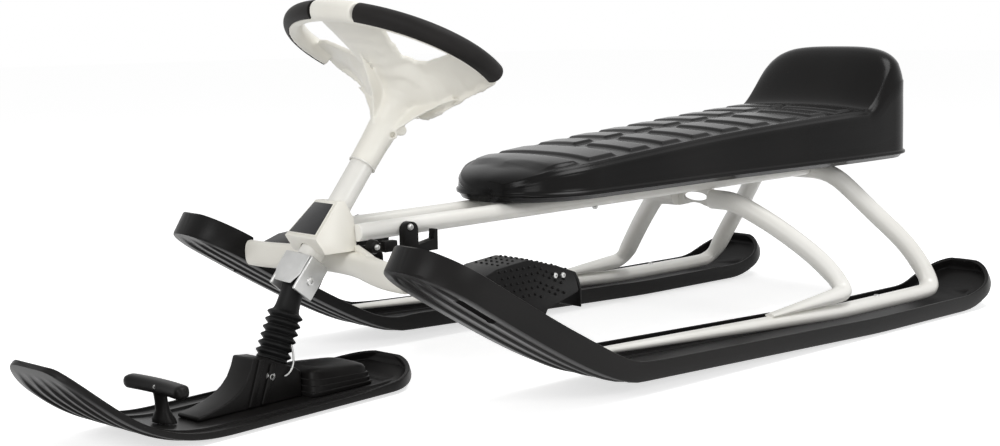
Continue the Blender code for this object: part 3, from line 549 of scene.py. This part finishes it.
def seat_bead(x, y):
    """The narrow raised line round the field of bars."""
    edge = seat_half(y) * 0.90
    inside = ease(y, -0.030, -0.020) * (1 - ease(y, 0.520, 0.540))
    return 0.0010 * inside * max(0.0, 1 - abs(abs(x) - edge) / 0.0022)


def seat_rings():
    """Closed rings across the seat, denser at its nose and heel: base, flange, wall and top."""
    spots = set()
    fine_nose = 0.060
    for step in range(13):
        spots.add(SEAT_FRONT + fine_nose * (1 - math.cos(math.pi / 2 * step / 12)))
        spots.add(SEAT_REAR - SEAT_HEEL * (1 - math.cos(math.pi / 2 * step / 12)))
    middle = SEAT_REAR - SEAT_HEEL - SEAT_FRONT - fine_nose
    for step in range(1, 300):
        spots.add(SEAT_FRONT + fine_nose + middle * step / 300)
    rings = []
    for y in sorted(spots):
        half = seat_half(y)
        base = TUBE_UP + TUBE_RISE * y + TUBE_HALF + SEAT_GAP
        lip = base + 0.0060
        foot = lip + 0.0060
        wall = seat_dome(half * 0.94, y) - 0.005 - foot
        side = [(half - 0.010, base), (half - 0.0060, base + 0.0006), (half - 0.002, lip - 0.0012),
                (half + 0.0005, lip), (half + 0.0030, lip + 0.0003), (half + 0.0035, lip + 0.0012),
                (half + 0.0035, lip + 0.0032), (half + 0.0030, lip + 0.0040),
                (half + 0.0008, lip + 0.0048), (half, lip + 0.0062),
                (half - 0.0002, foot + wall * 0.2), (half - 0.0006, foot + wall * 0.45),
                (half - 0.0012, foot + wall * 0.7), (half * 0.988, foot + wall * 0.88)]
        crown = [(half * 0.979, seat_dome(half * 0.979, y) - 0.0046)]
        for t in (0.966, 0.950, 0.940, 0.930):
            crown.append((half * t, seat_dome(half * t, y) - 0.004 * ease(t, 0.89, 0.98)))
        for step in range(1, 73):
            x = half * 0.922 * (1 - step / 72)
            crown.append((x, seat_dome(x, y) + seat_bars(x, y) + seat_bead(x, y)))
        profile = side + crown
        ring = profile + [(-x, z) for x, z in reversed(profile[:-1])]
        rings.append([Vector((x, y, z)) for x, z in ring])
    return rings


seat_gloss = finish_of("seat_gloss", (0.0045, 0.0043, 0.0043), (0.0080, 0.0075, 0.0073),
                       (0.17, 0.27), 6, 420, 0.05, specular=0.10)
seat_shell = lay_skin("seat_shell", seat_rings())
dress(seat_shell, seat_gloss, "gloss_black", "frame", "seat", angle=50)


# The steering head: an off-white nylon casting clamped round the column and bolted to the
# two main tubes, with a blank dark plate in a thin light frame on its slanted front.
cast_white = finish_of("cast_white", (0.845, 0.82, 0.745), (0.89, 0.87, 0.80), (0.34, 0.44),
                       12, 800, 0.14)


def cut_plate(name, outline, thick):
    """A flat sheet cut to an outline and drawn out to its thickness."""
    bpy.ops.mesh.primitive_circle_add(vertices=len(outline), radius=0.01, fill_type="NGON")
    piece = bpy.context.object
    piece.name = name
    for vertex, place in zip(piece.data.vertices, outline):
        vertex.co = Vector(place)
    bpy.ops.object.mode_set(mode="EDIT")
    bpy.ops.mesh.select_all(action="SELECT")
    bpy.ops.mesh.extrude_region_move(TRANSFORM_OT_translate={"value": thick})
    bpy.ops.mesh.select_all(action="SELECT")
    bpy.ops.mesh.normals_make_consistent(inside=False)
    bpy.ops.object.mode_set(mode="OBJECT")
    return piece


casting = copy_of_node("steering_head", "steering_head_casting")
round_edges(casting, 0.0024, 3, 28)
dress(casting, cast_white, "white_plastic", "frame", "steering_head", angle=40)
face_low = Vector((0, -0.3040, 0.1665))
face_high = Vector((0, -0.2700, 0.2005))
face_up = (face_high - face_low).normalized()
face_out = Vector((0, -face_up.z, face_up.y))


def on_face(across, share, proud):
    """A place on the head's slanted face: across it, up it as a share, and proud of it."""
    spot = face_low + (face_high - face_low) * share + face_out * proud
    return Vector((across, spot.y, spot.z))


plate_black = finish_of("plate_black", (0.010, 0.010, 0.011), (0.016, 0.016, 0.017),
                        (0.22, 0.30), 30, 900, 0.05, specular=0.3)
plate_frame = cut_plate("head_plate_frame",
                        [on_face(-0.0238, 0.07, 0.0002), on_face(0.0238, 0.07, 0.0002),
                         on_face(0.0172, 0.95, 0.0002), on_face(-0.0172, 0.95, 0.0002)],
                        face_out * 0.0008)
round_edges(plate_frame, 0.0003, 2)
dress(plate_frame, cast_white, "white_plastic", "frame")
head_plate = cut_plate("head_plate",
                       [on_face(-0.0224, 0.10, 0.0008), on_face(0.0224, 0.10, 0.0008),
                        on_face(0.0160, 0.92, 0.0008), on_face(-0.0160, 0.92, 0.0008)],
                       face_out * 0.0007)
round_edges(head_plate, 0.0006, 3)
dress(head_plate, plate_black, "gloss_black", "frame")


# The crossbar under the head: the same nylon, one bowed arm to each rear ski, with a gusset
# on each side where the arms leave the head.
crossbar = copy_of_node("front_crossbar", "front_crossbar_casting")
round_edges(crossbar, 0.0012, 3, 28)
use(crossbar, "SUBSURF", levels=2, render_levels=2)
dress(crossbar, cast_white, "white_plastic", "frame", "front_crossbar", angle=40)
for side, name in ((1, "bar_gusset_left"), (-1, "bar_gusset_right")):
    gusset = cut_plate(name, [Vector((side * x, y, z)) for x, y, z in
                              ((0.0265, -0.2560, 0.1560), (0.0265, -0.2560, 0.1440),
                               (0.0700, -0.2680, 0.1400), (0.1000, -0.2745, 0.1400),
                               (0.0620, -0.2650, 0.1500))], Vector((0, 0.0060, 0)))
    round_edges(gusset, 0.0016, 3)
    dress(gusset, cast_white, "white_plastic", "frame")


# The foot rests: black nylon plates on the rise of each rear ski, with a skirt down the outer
# side. Small round studs are moulded on the tread and the skirt for grip.
REST_REAR = -0.100
for node in ("footrest_left", "footrest_right"):
    plate = copy_of_node(node, node + "_moulding")
    for vertex in plate.data.vertices:
        if vertex.co.y > REST_REAR:
            vertex.co.y = REST_REAR + (vertex.co.y - REST_REAR) * 0.45
    round_edges(plate, 0.0022, 3, 20)
    dress(plate, moulded_black, "black_plastic", "frame", node, angle=40)

TREAD = ((-0.205, 0.1430), (-0.165, 0.1470), (-0.124, 0.1360), (-0.098, 0.1270),
         (-0.087, 0.1190))


def tread_at(y):
    """Height and slope of the tread."""
    for (y0, z0), (y1, z1) in zip(TREAD, TREAD[1:]):
        if y0 <= y <= y1:
            return z0 + (z1 - z0) * (y - y0) / (y1 - y0), (z1 - z0) / (y1 - y0)


def domed_button(name, radius, tall, sides=10):
    """A low round button: a short cylinder, its top edge bevelled over."""
    bpy.ops.mesh.primitive_cylinder_add(vertices=sides, radius=radius, depth=tall)
    button = bpy.context.object
    button.name = name
    bpy.ops.object.mode_set(mode="EDIT")
    bpy.ops.mesh.select_all(action="DESELECT")
    bpy.ops.object.mode_set(mode="OBJECT")
    for face in button.data.polygons:
        face.select = face.normal.z > 0.9
    bpy.ops.object.mode_set(mode="EDIT")
    bpy.ops.mesh.bevel(offset=min(radius, tall) * 0.6, segments=2)
    bpy.ops.object.mode_set(mode="OBJECT")
    return button


def stand_on(button, place, along):
    """Put the mesh at its place with its own upright axis along a direction."""
    turn = Vector((0, 0, 1)).rotation_difference(Vector(along)).to_matrix().to_4x4()
    button.data.transform(Matrix.Translation(place) @ turn)
    button.data.update()


def joined(name, pieces):
    """Join pieces into the first one, which takes the name."""
    pick(pieces[0])
    for piece in pieces:
        piece.select_set(True)
    bpy.ops.object.join()
    pieces[0].name = name
    return pieces[0]


SKIRT_X = 0.1850
SKIRT_THICK = 0.0032
SKIRT_TOP = ((-0.208, 0.1405), (-0.190, 0.1438), (-0.165, 0.1455), (-0.124, 0.1345),
             (-0.104, 0.1265), (-0.0985, 0.1188), (-0.0955, 0.1085))
SKIRT_REAR = ((-0.0970, 0.1060), (-0.1150, 0.1008), (-0.1390, 0.0940))
SKIRT_FOOT = tuple((y, rear_sole(y) + 0.0085) for y in (-0.160, -0.170, -0.208))
for side, name in ((1, "footrest_left_skirt"), (-1, "footrest_right_skirt")):
    skirt = cut_plate(name, [Vector((side * SKIRT_X, y, z))
                             for y, z in SKIRT_TOP + SKIRT_REAR + SKIRT_FOOT],
                      Vector((side * SKIRT_THICK, 0, 0)))
    round_edges(skirt, 0.0008, 2)
    dress(skirt, moulded_black, "black_plastic", "frame")

STUD_PITCH = 0.0080
STUD_PROUD = 0.0002
STUDS_REAR = -0.112
STUDS_LOW = 0.1080
stud = domed_button("stud", 0.0015, 0.0022, 8)


def add_stud(studs, place, along):
    one = twin(stud, "stud")
    stand_on(one, Vector(place), along)
    studs.append(one)


for side, name in ((1, "footrest_left_studs"), (-1, "footrest_right_studs")):
    studs = []
    for row in range(5):
        for line in range(13):
            y = -0.204 + STUD_PITCH * line + STUD_PITCH / 2 * (row % 2)
            z = 0.1395 - 0.0070 * row - 0.0035 * max(0, line - 6)
            if z >= rear_sole(y) + 0.018 and y <= STUDS_REAR and z >= STUDS_LOW:
                add_stud(studs, (side * (SKIRT_X + SKIRT_THICK + STUD_PROUD), y, z), (side, 0, 0))
    for row in range(10):
        for line in range(5):
            y = -0.196 + 0.0098 * row
            z, slope = tread_at(y)
            x = 0.1455 + STUD_PITCH * line + STUD_PITCH / 2 * (row % 2)
            add_stud(studs, (side * x, y, z + STUD_PROUD), (0, -slope, 1))
    dress(joined(name, studs), moulded_black, "black_plastic", "frame", angle=60)
bpy.data.objects.remove(stud)


# The brake lugs: black nylon, a round-topped cheek and a hook clamped to each main tube, with
# a small block and a knob ahead of them. Plated bolts hold them, and like ones hold the foot
# rests, the seat and the runners.
plated = finish_of("plated_steel", (0.46, 0.46, 0.45), (0.62, 0.62, 0.61), (0.28, 0.40),
                   30, 900, 0.10, metal=0.7)
for side, node in ((1, "brake_lug_left"), (-1, "brake_lug_right")):
    lug = copy_of_node(node, node + "_moulding")
    round_edges(lug, 0.0012, 3, 25)
    dress(lug, moulded_black, "black_plastic", "frame", node, angle=40)
    block = cut_plate(node + "_block", [Vector((side * 0.0372, y, z)) for y, z in
                                        ((-0.2320, 0.1585), (-0.2320, 0.1470), (-0.2150, 0.1470),
                                         (-0.2150, 0.1585))], Vector((side * 0.0090, 0, 0)))
    round_edges(block, 0.0015, 3)
    dress(block, moulded_black, "black_plastic", "frame")


def bolt_head(name, radius):
    """A pan head bolt: a short cylinder with a rounded edge and a sunk six-sided socket."""
    bolt = domed_button(name, radius, radius * 0.9, 18)
    bpy.ops.mesh.primitive_cylinder_add(vertices=6, radius=radius * 0.42, depth=radius,
                                        location=(0, 0, radius * 0.60))
    socket = bpy.context.object
    cut_out(bolt, socket)
    return bolt


BOTH_SIDES = ((1, "_left"), (-1, "_right"))
KNOB_PLACE = Vector((0.0430, -0.2438, 0.1543))
BOLTS = (("lug_bolt", (0.0476, -0.1990, 0.1705), (1, 0, 0), 0.0036),
         ("knob_bolt", (0.0492, KNOB_PLACE.y, KNOB_PLACE.z), (1, 0, 0), 0.0030),
         ("tube_screw", (0.0270, 0.0945, 0.1618), (0, 0, -1), 0.0034),
         ("rest_bolt_a", (0.1888, -0.1290, 0.1270), (1, 0, 0), 0.0030),
         ("rest_bolt_b", (0.1888, -0.1180, 0.1260), (1, 0, 0), 0.0030))
for name, (x, y, z), (along_x, along_y, along_z), radius in BOLTS:
    for side, mark in BOTH_SIDES:
        bolt = bolt_head(name + mark, radius)
        stand_on(bolt, Vector((side * x, y, z)), (side * along_x, along_y, along_z))
        dress(bolt, plated, "grey_metal", "frame")
hoop_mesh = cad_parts["rear_hoop"].data
hoop_skin = BVHTree.FromPolygons([v.co.copy() for v in hoop_mesh.vertices],
                                 [tuple(p.vertices) for p in hoop_mesh.polygons])
ABOVE_RUNNER = 0.060
for side, mark in BOTH_SIDES:
    knob = domed_button("brake_knob" + mark, 0.0075, 0.0100, 20)
    stand_on(knob, Vector((side * KNOB_PLACE.x, KNOB_PLACE.y, KNOB_PLACE.z)), (side, 0, 0))
    dress(knob, moulded_black, "black_plastic", "frame")
    for y, tag in ((0.2554, "runner_screw_front"), (0.4309, "runner_screw_rear")):
        bolt = bolt_head(tag + mark, 0.0036)
        start = Vector((side * RUNNER_X, y, ABOVE_RUNNER))
        top = hoop_skin.ray_cast(start, Vector((0, 0, -1)))[0]
        stand_on(bolt, top, (0, 0, 1))
        dress(bolt, plated, "grey_metal", "frame")


# The steering wheel: one off-white nylon moulding. A hub sleeve flares into a thin dished
# web that reaches out as a stem and two arms, and an oval rim closes its front.
WHEEL_LIFT = 0.1858
WHEEL_TILT = 0.146
BACK_AXIS = Vector((0, 0.786935, -0.617036))
AXIS_POINT = Vector((0, -0.2694, 0.1755))
UP_AXIS = Vector((0, 0.617036, 0.786935))
STEER = math.radians(5.9)
COLUMN_TURN = (Matrix.Translation(AXIS_POINT) @ Matrix.Rotation(STEER, 4, UP_AXIS)
               @ Matrix.Translation(-AXIS_POINT))


def wheel_point(u, v, w):
    """u across, v back in the plane of the wheel, w up along the column from the rim."""
    return AXIS_POINT + Vector((u, 0, 0)) + BACK_AXIS * v + UP_AXIS * (WHEEL_LIFT + w)


def read_table(table, where):
    """A smooth reading between the rows of a table of places and values."""
    if where <= table[0][0]:
        return table[0][1]
    for (a, first), (b, second) in zip(table, table[1:]):
        if where <= b:
            t = (where - a) / (b - a)
            return first + (second - first) * t * t * (3 - 2 * t)
    return table[-1][1]


WEB_EDGE = [(0, 0.126), (14, 0.125), (22, 0.114), (27, 0.082), (33, 0.062), (45, 0.055),
            (55, 0.062), (60, 0.080), (64, 0.112), (69, 0.124), (76, 0.127), (83, 0.127),
            (89, 0.123), (93, 0.106), (98, 0.080), (106, 0.056), (122, 0.040), (150, 0.031),
            (180, 0.029)]
WEB_FRONT = [(0.027, -0.0315), (0.040, -0.0275), (0.055, -0.0230), (0.070, -0.0190),
             (0.085, -0.0155), (0.100, -0.0125), (0.126, -0.0098)]
WEB_MIDDLE = [(0.027, -0.0310), (0.040, -0.0200), (0.055, -0.0060), (0.070, -0.0030),
              (0.085, -0.0005), (0.113, 0.0015), (0.127, 0.0020)]
WEB_SIDE = [(0.027, -0.0335), (0.040, -0.0305), (0.055, -0.0245), (0.070, -0.0140),
            (0.085, -0.0045), (0.100, 0.0020), (0.127, 0.0085)]
HUB = [(-0.1113, 0.0146), (-0.0858, 0.0151), (-0.0608, 0.0166), (-0.0458, 0.0196),
       (-0.0388, 0.0228), (-0.0335, 0.0270)]


def web_height(reach, turn):
    """Height of the web's underside at a distance from the axis and degrees from the front."""
    front, middle, side = (read_table(t, reach) for t in (WEB_FRONT, WEB_MIDDLE, WEB_SIDE))
    if turn < 50:
        return front + (middle - front) * ease(turn, 14, 46)
    return middle + (side - middle) * ease(turn, 56, 96)


HUB_REACH = HUB[-1][1]
HUB_FOOT = HUB[0][0]
WEB_THICK = 0.0038


def ledge_drop(reach, edge, deep):
    """How far the web has stepped down to the ledge along its rear edge."""
    return deep * ease(reach, edge - 0.0150, edge - 0.0085)


web_rings = []
for step in range(181):
    degrees = -180 + 2 * step
    turn = abs(degrees)
    angle = math.radians(degrees)
    edge = read_table(WEB_EDGE, turn)
    ledge = 0.0060 * ease(turn, 74, 92) * (1 - ease(turn, 122, 150))
    under = [(0.0005, HUB_FOOT)] + [(r, w) for w, r in HUB]
    over = []
    for part in range(1, 17):
        reach = HUB_REACH + (edge - HUB_REACH) * part / 16
        low = web_height(reach, turn) - ledge_drop(reach, edge, ledge)
        ahead = web_height(reach + 0.002, turn) - ledge_drop(reach + 0.002, edge, ledge)
        steep = min(2.2, abs(ahead - low) / 0.002)
        thick = WEB_THICK + 0.0014 * ease(reach, edge - 0.020, edge - 0.012)
        under.append((reach, low))
        over.append((reach, low + thick * math.sqrt(1 + steep * steep)))
    loop = under + list(reversed(over)) + [(0.020, -0.0265), (0.0005, -0.0260)]
    web_rings.append([wheel_point(math.sin(angle) * r, -math.cos(angle) * r, w)
                      for r, w in loop])
wheel_web = lay_skin("wheel_web", web_rings)

RIM_HALF = 0.0112
RIM_ACROSS = 0.1296
RIM_DEEP = 0.0910
RIM_MIDDLE = -0.0371
GRIP_START = 0.235
RIM_END = 1.80


def squared(value, power):
    """A sine or cosine pushed outward, which squares a circle's corners."""
    return math.copysign(abs(value) ** power, value)


def round_about(count, start=0.0):
    """Evenly spaced angles once round."""
    return [2 * math.pi * (step + start) / count for step in range(count)]


def rim_point(turn):
    u = RIM_ACROSS * squared(math.sin(turn), 0.967)
    v = RIM_MIDDLE - RIM_DEEP * squared(math.cos(turn), 0.967)
    return wheel_point(u, v, WHEEL_TILT * (v + 0.06))


rim_rings = []
for step in range(121):
    turn = -RIM_END + 2 * RIM_END * step / 120
    along = (rim_point(turn + 0.01) - rim_point(turn - 0.01)).normalized()
    beside = along.cross(UP_AXIS).normalized()
    upward = beside.cross(along)
    ring = []
    for angle in round_about(28):
        across = RIM_HALF * math.cos(angle)
        if abs(turn) > GRIP_START:
            across = min(across, -0.0002)        # behind a grip only the inner half is left
        ring.append(rim_point(turn) + beside * across + upward * (RIM_HALF * math.sin(angle)))
    rim_rings.append(ring)
wheel_rim = lay_skin("wheel_rim", rim_rings)
parts = [wheel_web, wheel_rim]
RIB_HALF = 0.0013
for u, v, reach, climb in ((0, -1, 0.078, 0.003), (1, 0.06, 0.080, 0.010),
                           (-1, 0.06, 0.080, 0.010)):
    length = math.hypot(u, v)
    u, v = u / length, v / length
    outline = ((0.006, 0.100), (0.0205, 0.122), (0.036, 0.140), (reach * 0.75, 0.150 + climb),
               (reach, 0.160 + climb), (reach * 0.75, 0.158 + climb), (0.006, 0.154))
    rib = cut_plate("rib", [wheel_point(u * r - v * RIB_HALF, v * r + u * RIB_HALF, w - WHEEL_LIFT)
                            for r, w in outline],
                    Vector((v, 0, 0)) * 2 * RIB_HALF - BACK_AXIS * (u * 2 * RIB_HALF))
    parts.append(rib)
BOSS_LEAN = (0.86, -0.50, -0.05)
for place, size in (((0.0140, -0.1938, 0.2658), 0.0062), ((0.0150, -0.1815, 0.2690), 0.0058)):
    bpy.ops.mesh.primitive_cylinder_add(vertices=24, radius=size, depth=0.014)
    boss = bpy.context.object
    stand_on(boss, Vector(place) - Vector((0.003, 0, 0)), BOSS_LEAN)
    parts.append(boss)
wheel = joined("wheel_moulding", parts)
use(wheel, "REMESH", mode="VOXEL", voxel_size=0.0012, use_smooth_shade=True)
use(wheel, "SMOOTH", factor=0.5, iterations=9)
bpy.ops.mesh.primitive_cylinder_add(vertices=20, radius=0.0032, depth=0.010)
hole = bpy.context.object
stand_on(hole, Vector((0.0175, -0.1972, 0.2655)), BOSS_LEAN)
cut_out(wheel, hole)
wheel.data.transform(COLUMN_TURN)
dress(wheel, cast_white, "white_plastic", "steering", "steering_wheel", angle=60)


# The column: off-white steel tube that runs up into the wheel's sleeve, where a thin collar
# marks the end of the sleeve.
column = copy_of_node("steering_column", "column_tube")
dress(column, powder_coat, "white_paint", "steering", "steering_column", angle=40)
bpy.ops.mesh.primitive_torus_add(major_radius=0.0142, minor_radius=0.0011, major_segments=40,
                                 minor_segments=8)
collar = bpy.context.object
collar.name = "column_collar"
stand_on(collar, AXIS_POINT + UP_AXIS * 0.0745, UP_AXIS)
dress(collar, powder_coat, "white_paint", "steering")


# The grips: black rubber sleeves on the outer side of the rim, one for each hand. They are
# moulded over the rim, of which only the inner half is left there.
grip_rubber = finish_of("grip_rubber", (0.0100, 0.0092, 0.0088), (0.0175, 0.0160, 0.0155),
                        (0.46, 0.60), 16, 1400, 0.35, specular=0.12)
for node in ("wheel_grip_left", "wheel_grip_right"):
    grip = copy_of_node(node, node + "_rubber")
    round_edges(grip, 0.0010, 2, 50)
    use(grip, "SUBSURF", levels=2, render_levels=2)
    dress(grip, grip_rubber, "black_grip", "steering", node, angle=45)


# The fork: a pressed and zinc-plated steel bracket welded under the column, with the spring
# leg's pivot bolt through its cheeks.
fork = copy_of_node("steering_fork", "steering_fork_pressing")
round_edges(fork, 0.0016, 3, 25)
dress(fork, plated, "grey_metal", "steering", "steering_fork", angle=40)
fork_front = cut_plate("steering_fork_front",
                       [AXIS_POINT + Vector((u, 0, 0)) + BACK_AXIS * -0.0143 + UP_AXIS * w
                        for u, w in ((-0.0185, -0.0425), (0.0185, -0.0425), (0.0185, -0.0640),
                                     (0.0120, -0.0760), (-0.0120, -0.0760),
                                     (-0.0185, -0.0640))], BACK_AXIS * -0.0016)
round_edges(fork_front, 0.0006, 2)
fork_front.data.transform(COLUMN_TURN)
dress(fork_front, plated, "grey_metal", "steering")
for side, mark in BOTH_SIDES:
    bolt = bolt_head("fork_bolt" + mark, 0.0048)
    stand_on(bolt, AXIS_POINT + UP_AXIS * -0.0640 + Vector((side * 0.0205, 0, 0)),
             (side, 0, 0))
    bolt.data.transform(COLUMN_TURN)
    dress(bolt, plated, "grey_metal", "steering")


# The spring leg's boot: a black rubber bellows of six folds over the coil spring. It is
# moulded in one piece and held between the fork and the riser.
bellows_rubber = finish_of("bellows_rubber", (0.0060, 0.0060, 0.0060), (0.0110, 0.0110, 0.0110),
                           (0.40, 0.55), 20, 1100, 0.25, specular=0.12)
boot = copy_of_node("spring_boot", "spring_boot_rubber")
use(boot, "SUBSURF", levels=2, render_levels=2)
dress(boot, bellows_rubber, "black_rubber", "steering", "spring_boot", angle=60)


# The riser: a tall block of the same black plastic on the ski's deck, with two ribs down each
# side. It carries the foot of the spring leg, and a plated bolt goes through it.
BOOT_LEAN = Vector((0.0, 0.407, 0.913)).normalized()
DECK = 0.0070
seat_face = BOOT_BASE - BOOT_LEAN * 0.0003
across_lean = Vector((0.0, BOOT_LEAN.z, -BOOT_LEAN.y))
riser_front = seat_face - across_lean * 0.0205
riser_rear = seat_face + across_lean * 0.0200
riser = cut_plate("ski_riser_block", [Vector((-0.0165, y, z)) for y, z in
                  ((-0.4480, DECK), (-0.4480, 0.0115), (-0.4340, 0.0132), (-0.4190, 0.0168),
                   (-0.4060, 0.0218), (-0.3960, 0.0280), (-0.3880, 0.0360), (-0.3825, 0.0460),
                   (-0.3790, 0.0560), (-0.3720, riser_front.z + 0.0010),
                   (riser_front.y, riser_front.z), (riser_rear.y, riser_rear.z),
                   (-0.3190, 0.0330), (-0.3190, DECK))], Vector((0.0330, 0, 0)))
round_edges(riser, 0.0018, 3)
ribs = []
for side in (1, -1):
    for (top_y, top_z), (foot_y, foot_z) in (((-0.3700, 0.0545), (-0.3850, 0.0090)),
                                             ((-0.3560, 0.0480), (-0.3690, 0.0090))):
        rib = cut_plate("riser_rib", [Vector((side * 0.0160, y, z)) for y, z in
                                      ((top_y - 0.0030, top_z), (top_y + 0.0030, top_z - 0.0010),
                                       (foot_y + 0.0040, foot_z), (foot_y - 0.0040, foot_z))],
                        Vector((side * 0.0034, 0, 0)))
        round_edges(rib, 0.0014, 3)
        ribs.append(rib)
riser.data.transform(SKI_TURN)
dress(riser, moulded_black, "black_plastic", "steering", "ski_riser", angle=40)
ribs = joined("ski_riser_ribs", ribs)
ribs.data.transform(SKI_TURN)
dress(ribs, moulded_black, "black_plastic", "steering", angle=40)
for side, mark in BOTH_SIDES:
    bolt = bolt_head("riser_bolt" + mark, 0.0052)
    stand_on(bolt, Vector((side * 0.0172, -0.3590, 0.0350)), (side, 0, 0))
    bolt.data.transform(SKI_TURN)
    dress(bolt, plated, "grey_metal", "steering")


# The tow reel's cover: a black moulded box that stands on the ski's deck behind the riser.
# Its sides step inward on the way up, and its top slopes down to the rear.
REEL_Y = -0.2749
REEL_HALF_WIDE = 0.0340
REEL_HALF_LONG = 0.0436
REEL_STEPS = ((DECK, 0.0000), (0.0110, 0.0000), (0.0114, 0.0012), (0.0160, 0.0014),
              (0.0164, 0.0026), (0.0215, 0.0030), (0.0219, 0.0042), (0.0270, 0.0050),
              (0.0300, 0.0070), (0.0320, 0.0110), (0.0330, 0.0180))
reel_rings = []
for z, inset in REEL_STEPS:
    ring = []
    for angle in round_about(48, 0.5):
        x = (REEL_HALF_WIDE - inset) * squared(math.cos(angle), 0.32)
        y = REEL_Y + (REEL_HALF_LONG - inset) * squared(math.sin(angle), 0.32)
        ring.append(Vector((x, y, z - 0.10 * (y - REEL_Y) * (z - DECK) / 0.026)))
    reel_rings.append(ring)
housing = lay_skin("tow_reel_cover", reel_rings)
round_edges(housing, 0.0003, 2, 35)
housing.data.transform(SKI_TURN)
dress(housing, moulded_black, "black_plastic", "steering", "tow_reel_housing", angle=40)


# The tow handle: a black moulded cross bar on a flared neck, which rises from the ski's deck
# ahead of the riser. A small plated rivet shows in the front of the bar.
HANDLE_HALF = 0.0455
HANDLE_Y = -0.4790
HANDLE_UP = 0.0460
handle_rings = []
for step in range(33):
    x = -HANDLE_HALF + 2 * HANDLE_HALF * step / 32
    end = min(1.0, (HANDLE_HALF - abs(x)) / 0.0070)
    full = max(0.28, math.sqrt(max(0.0, 1 - (1 - end) ** 2)))
    y = HANDLE_Y - 0.0040 * (abs(x) / HANDLE_HALF) ** 2
    handle_rings.append([Vector((x, y + squared(math.cos(angle), 0.75) * 0.0080 * full,
                                 HANDLE_UP + squared(math.sin(angle), 0.75) * 0.0068 * full))
                         for angle in round_about(28)])
handle = lay_skin("tow_handle_bar", handle_rings)
neck_foot = DECK + 0.0013
neck_rings = []
for share in (0.0, 0.06, 0.14, 0.35, 0.6, 0.8, 1.0):
    z = neck_foot + (0.0433 - DECK) * share
    wide = 0.0130 - 0.0060 * ease(share, 0.0, 0.45) + 0.0015 * ease(share, 0.75, 1.0)
    deep = 0.0110 - 0.0052 * ease(share, 0.0, 0.45) + 0.0006 * ease(share, 0.75, 1.0)
    ring = []
    for angle in round_about(24):
        y = -0.4745 - 0.0045 * share + deep * math.sin(angle)
        ring.append(Vector((wide * math.cos(angle), y, z + front_sole(y) * (1 - share))))
    neck_rings.append(ring)
neck = lay_skin("tow_handle_neck", neck_rings)
handle.data.transform(SKI_TURN)
neck.data.transform(SKI_TURN)
dress(handle, moulded_black, "black_plastic", "steering", "tow_handle", angle=50)
dress(neck, moulded_black, "black_plastic", "steering", angle=50)
dot = bolt_head("tow_handle_rivet", 0.0024)
stand_on(dot, Vector((0.004, -0.4862, 0.0470)), (0.1, -1, 0.1))
dot.data.transform(SKI_TURN)
dress(dot, plated, "grey_metal", "steering")


# The hook wire: plated steel wire, bent into a shallow bow beside the foot of the boot, with
# its lower end against the side of the riser.
WIRE_HALF = 0.0011
wire_path = [Vector(spot) for spot in
             ((0.0190, -0.3330, 0.0640), (0.0196, -0.3315, 0.0560), (0.0200, -0.3310, 0.0470),
              (0.0198, -0.3330, 0.0390), (0.0190, -0.3375, 0.0335), (0.0178, -0.3430, 0.0320))]
wire_rings = []
for number, spot in enumerate(wire_path):
    before = wire_path[max(0, number - 1)]
    after = wire_path[min(len(wire_path) - 1, number + 1)]
    along = (after - before).normalized()
    beside = along.cross(Vector((1, 0, 0))).normalized()
    over = beside.cross(along)
    wire_rings.append([spot + (beside * math.cos(angle) + over * math.sin(angle)) * WIRE_HALF
                       for angle in round_about(12)])
wire = lay_skin("spring_hook_wire", wire_rings)
use(wire, "SUBSURF", levels=1, render_levels=1)
wire.data.transform(SKI_TURN)
dress(wire, plated, "grey_metal", "steering", angle=60)
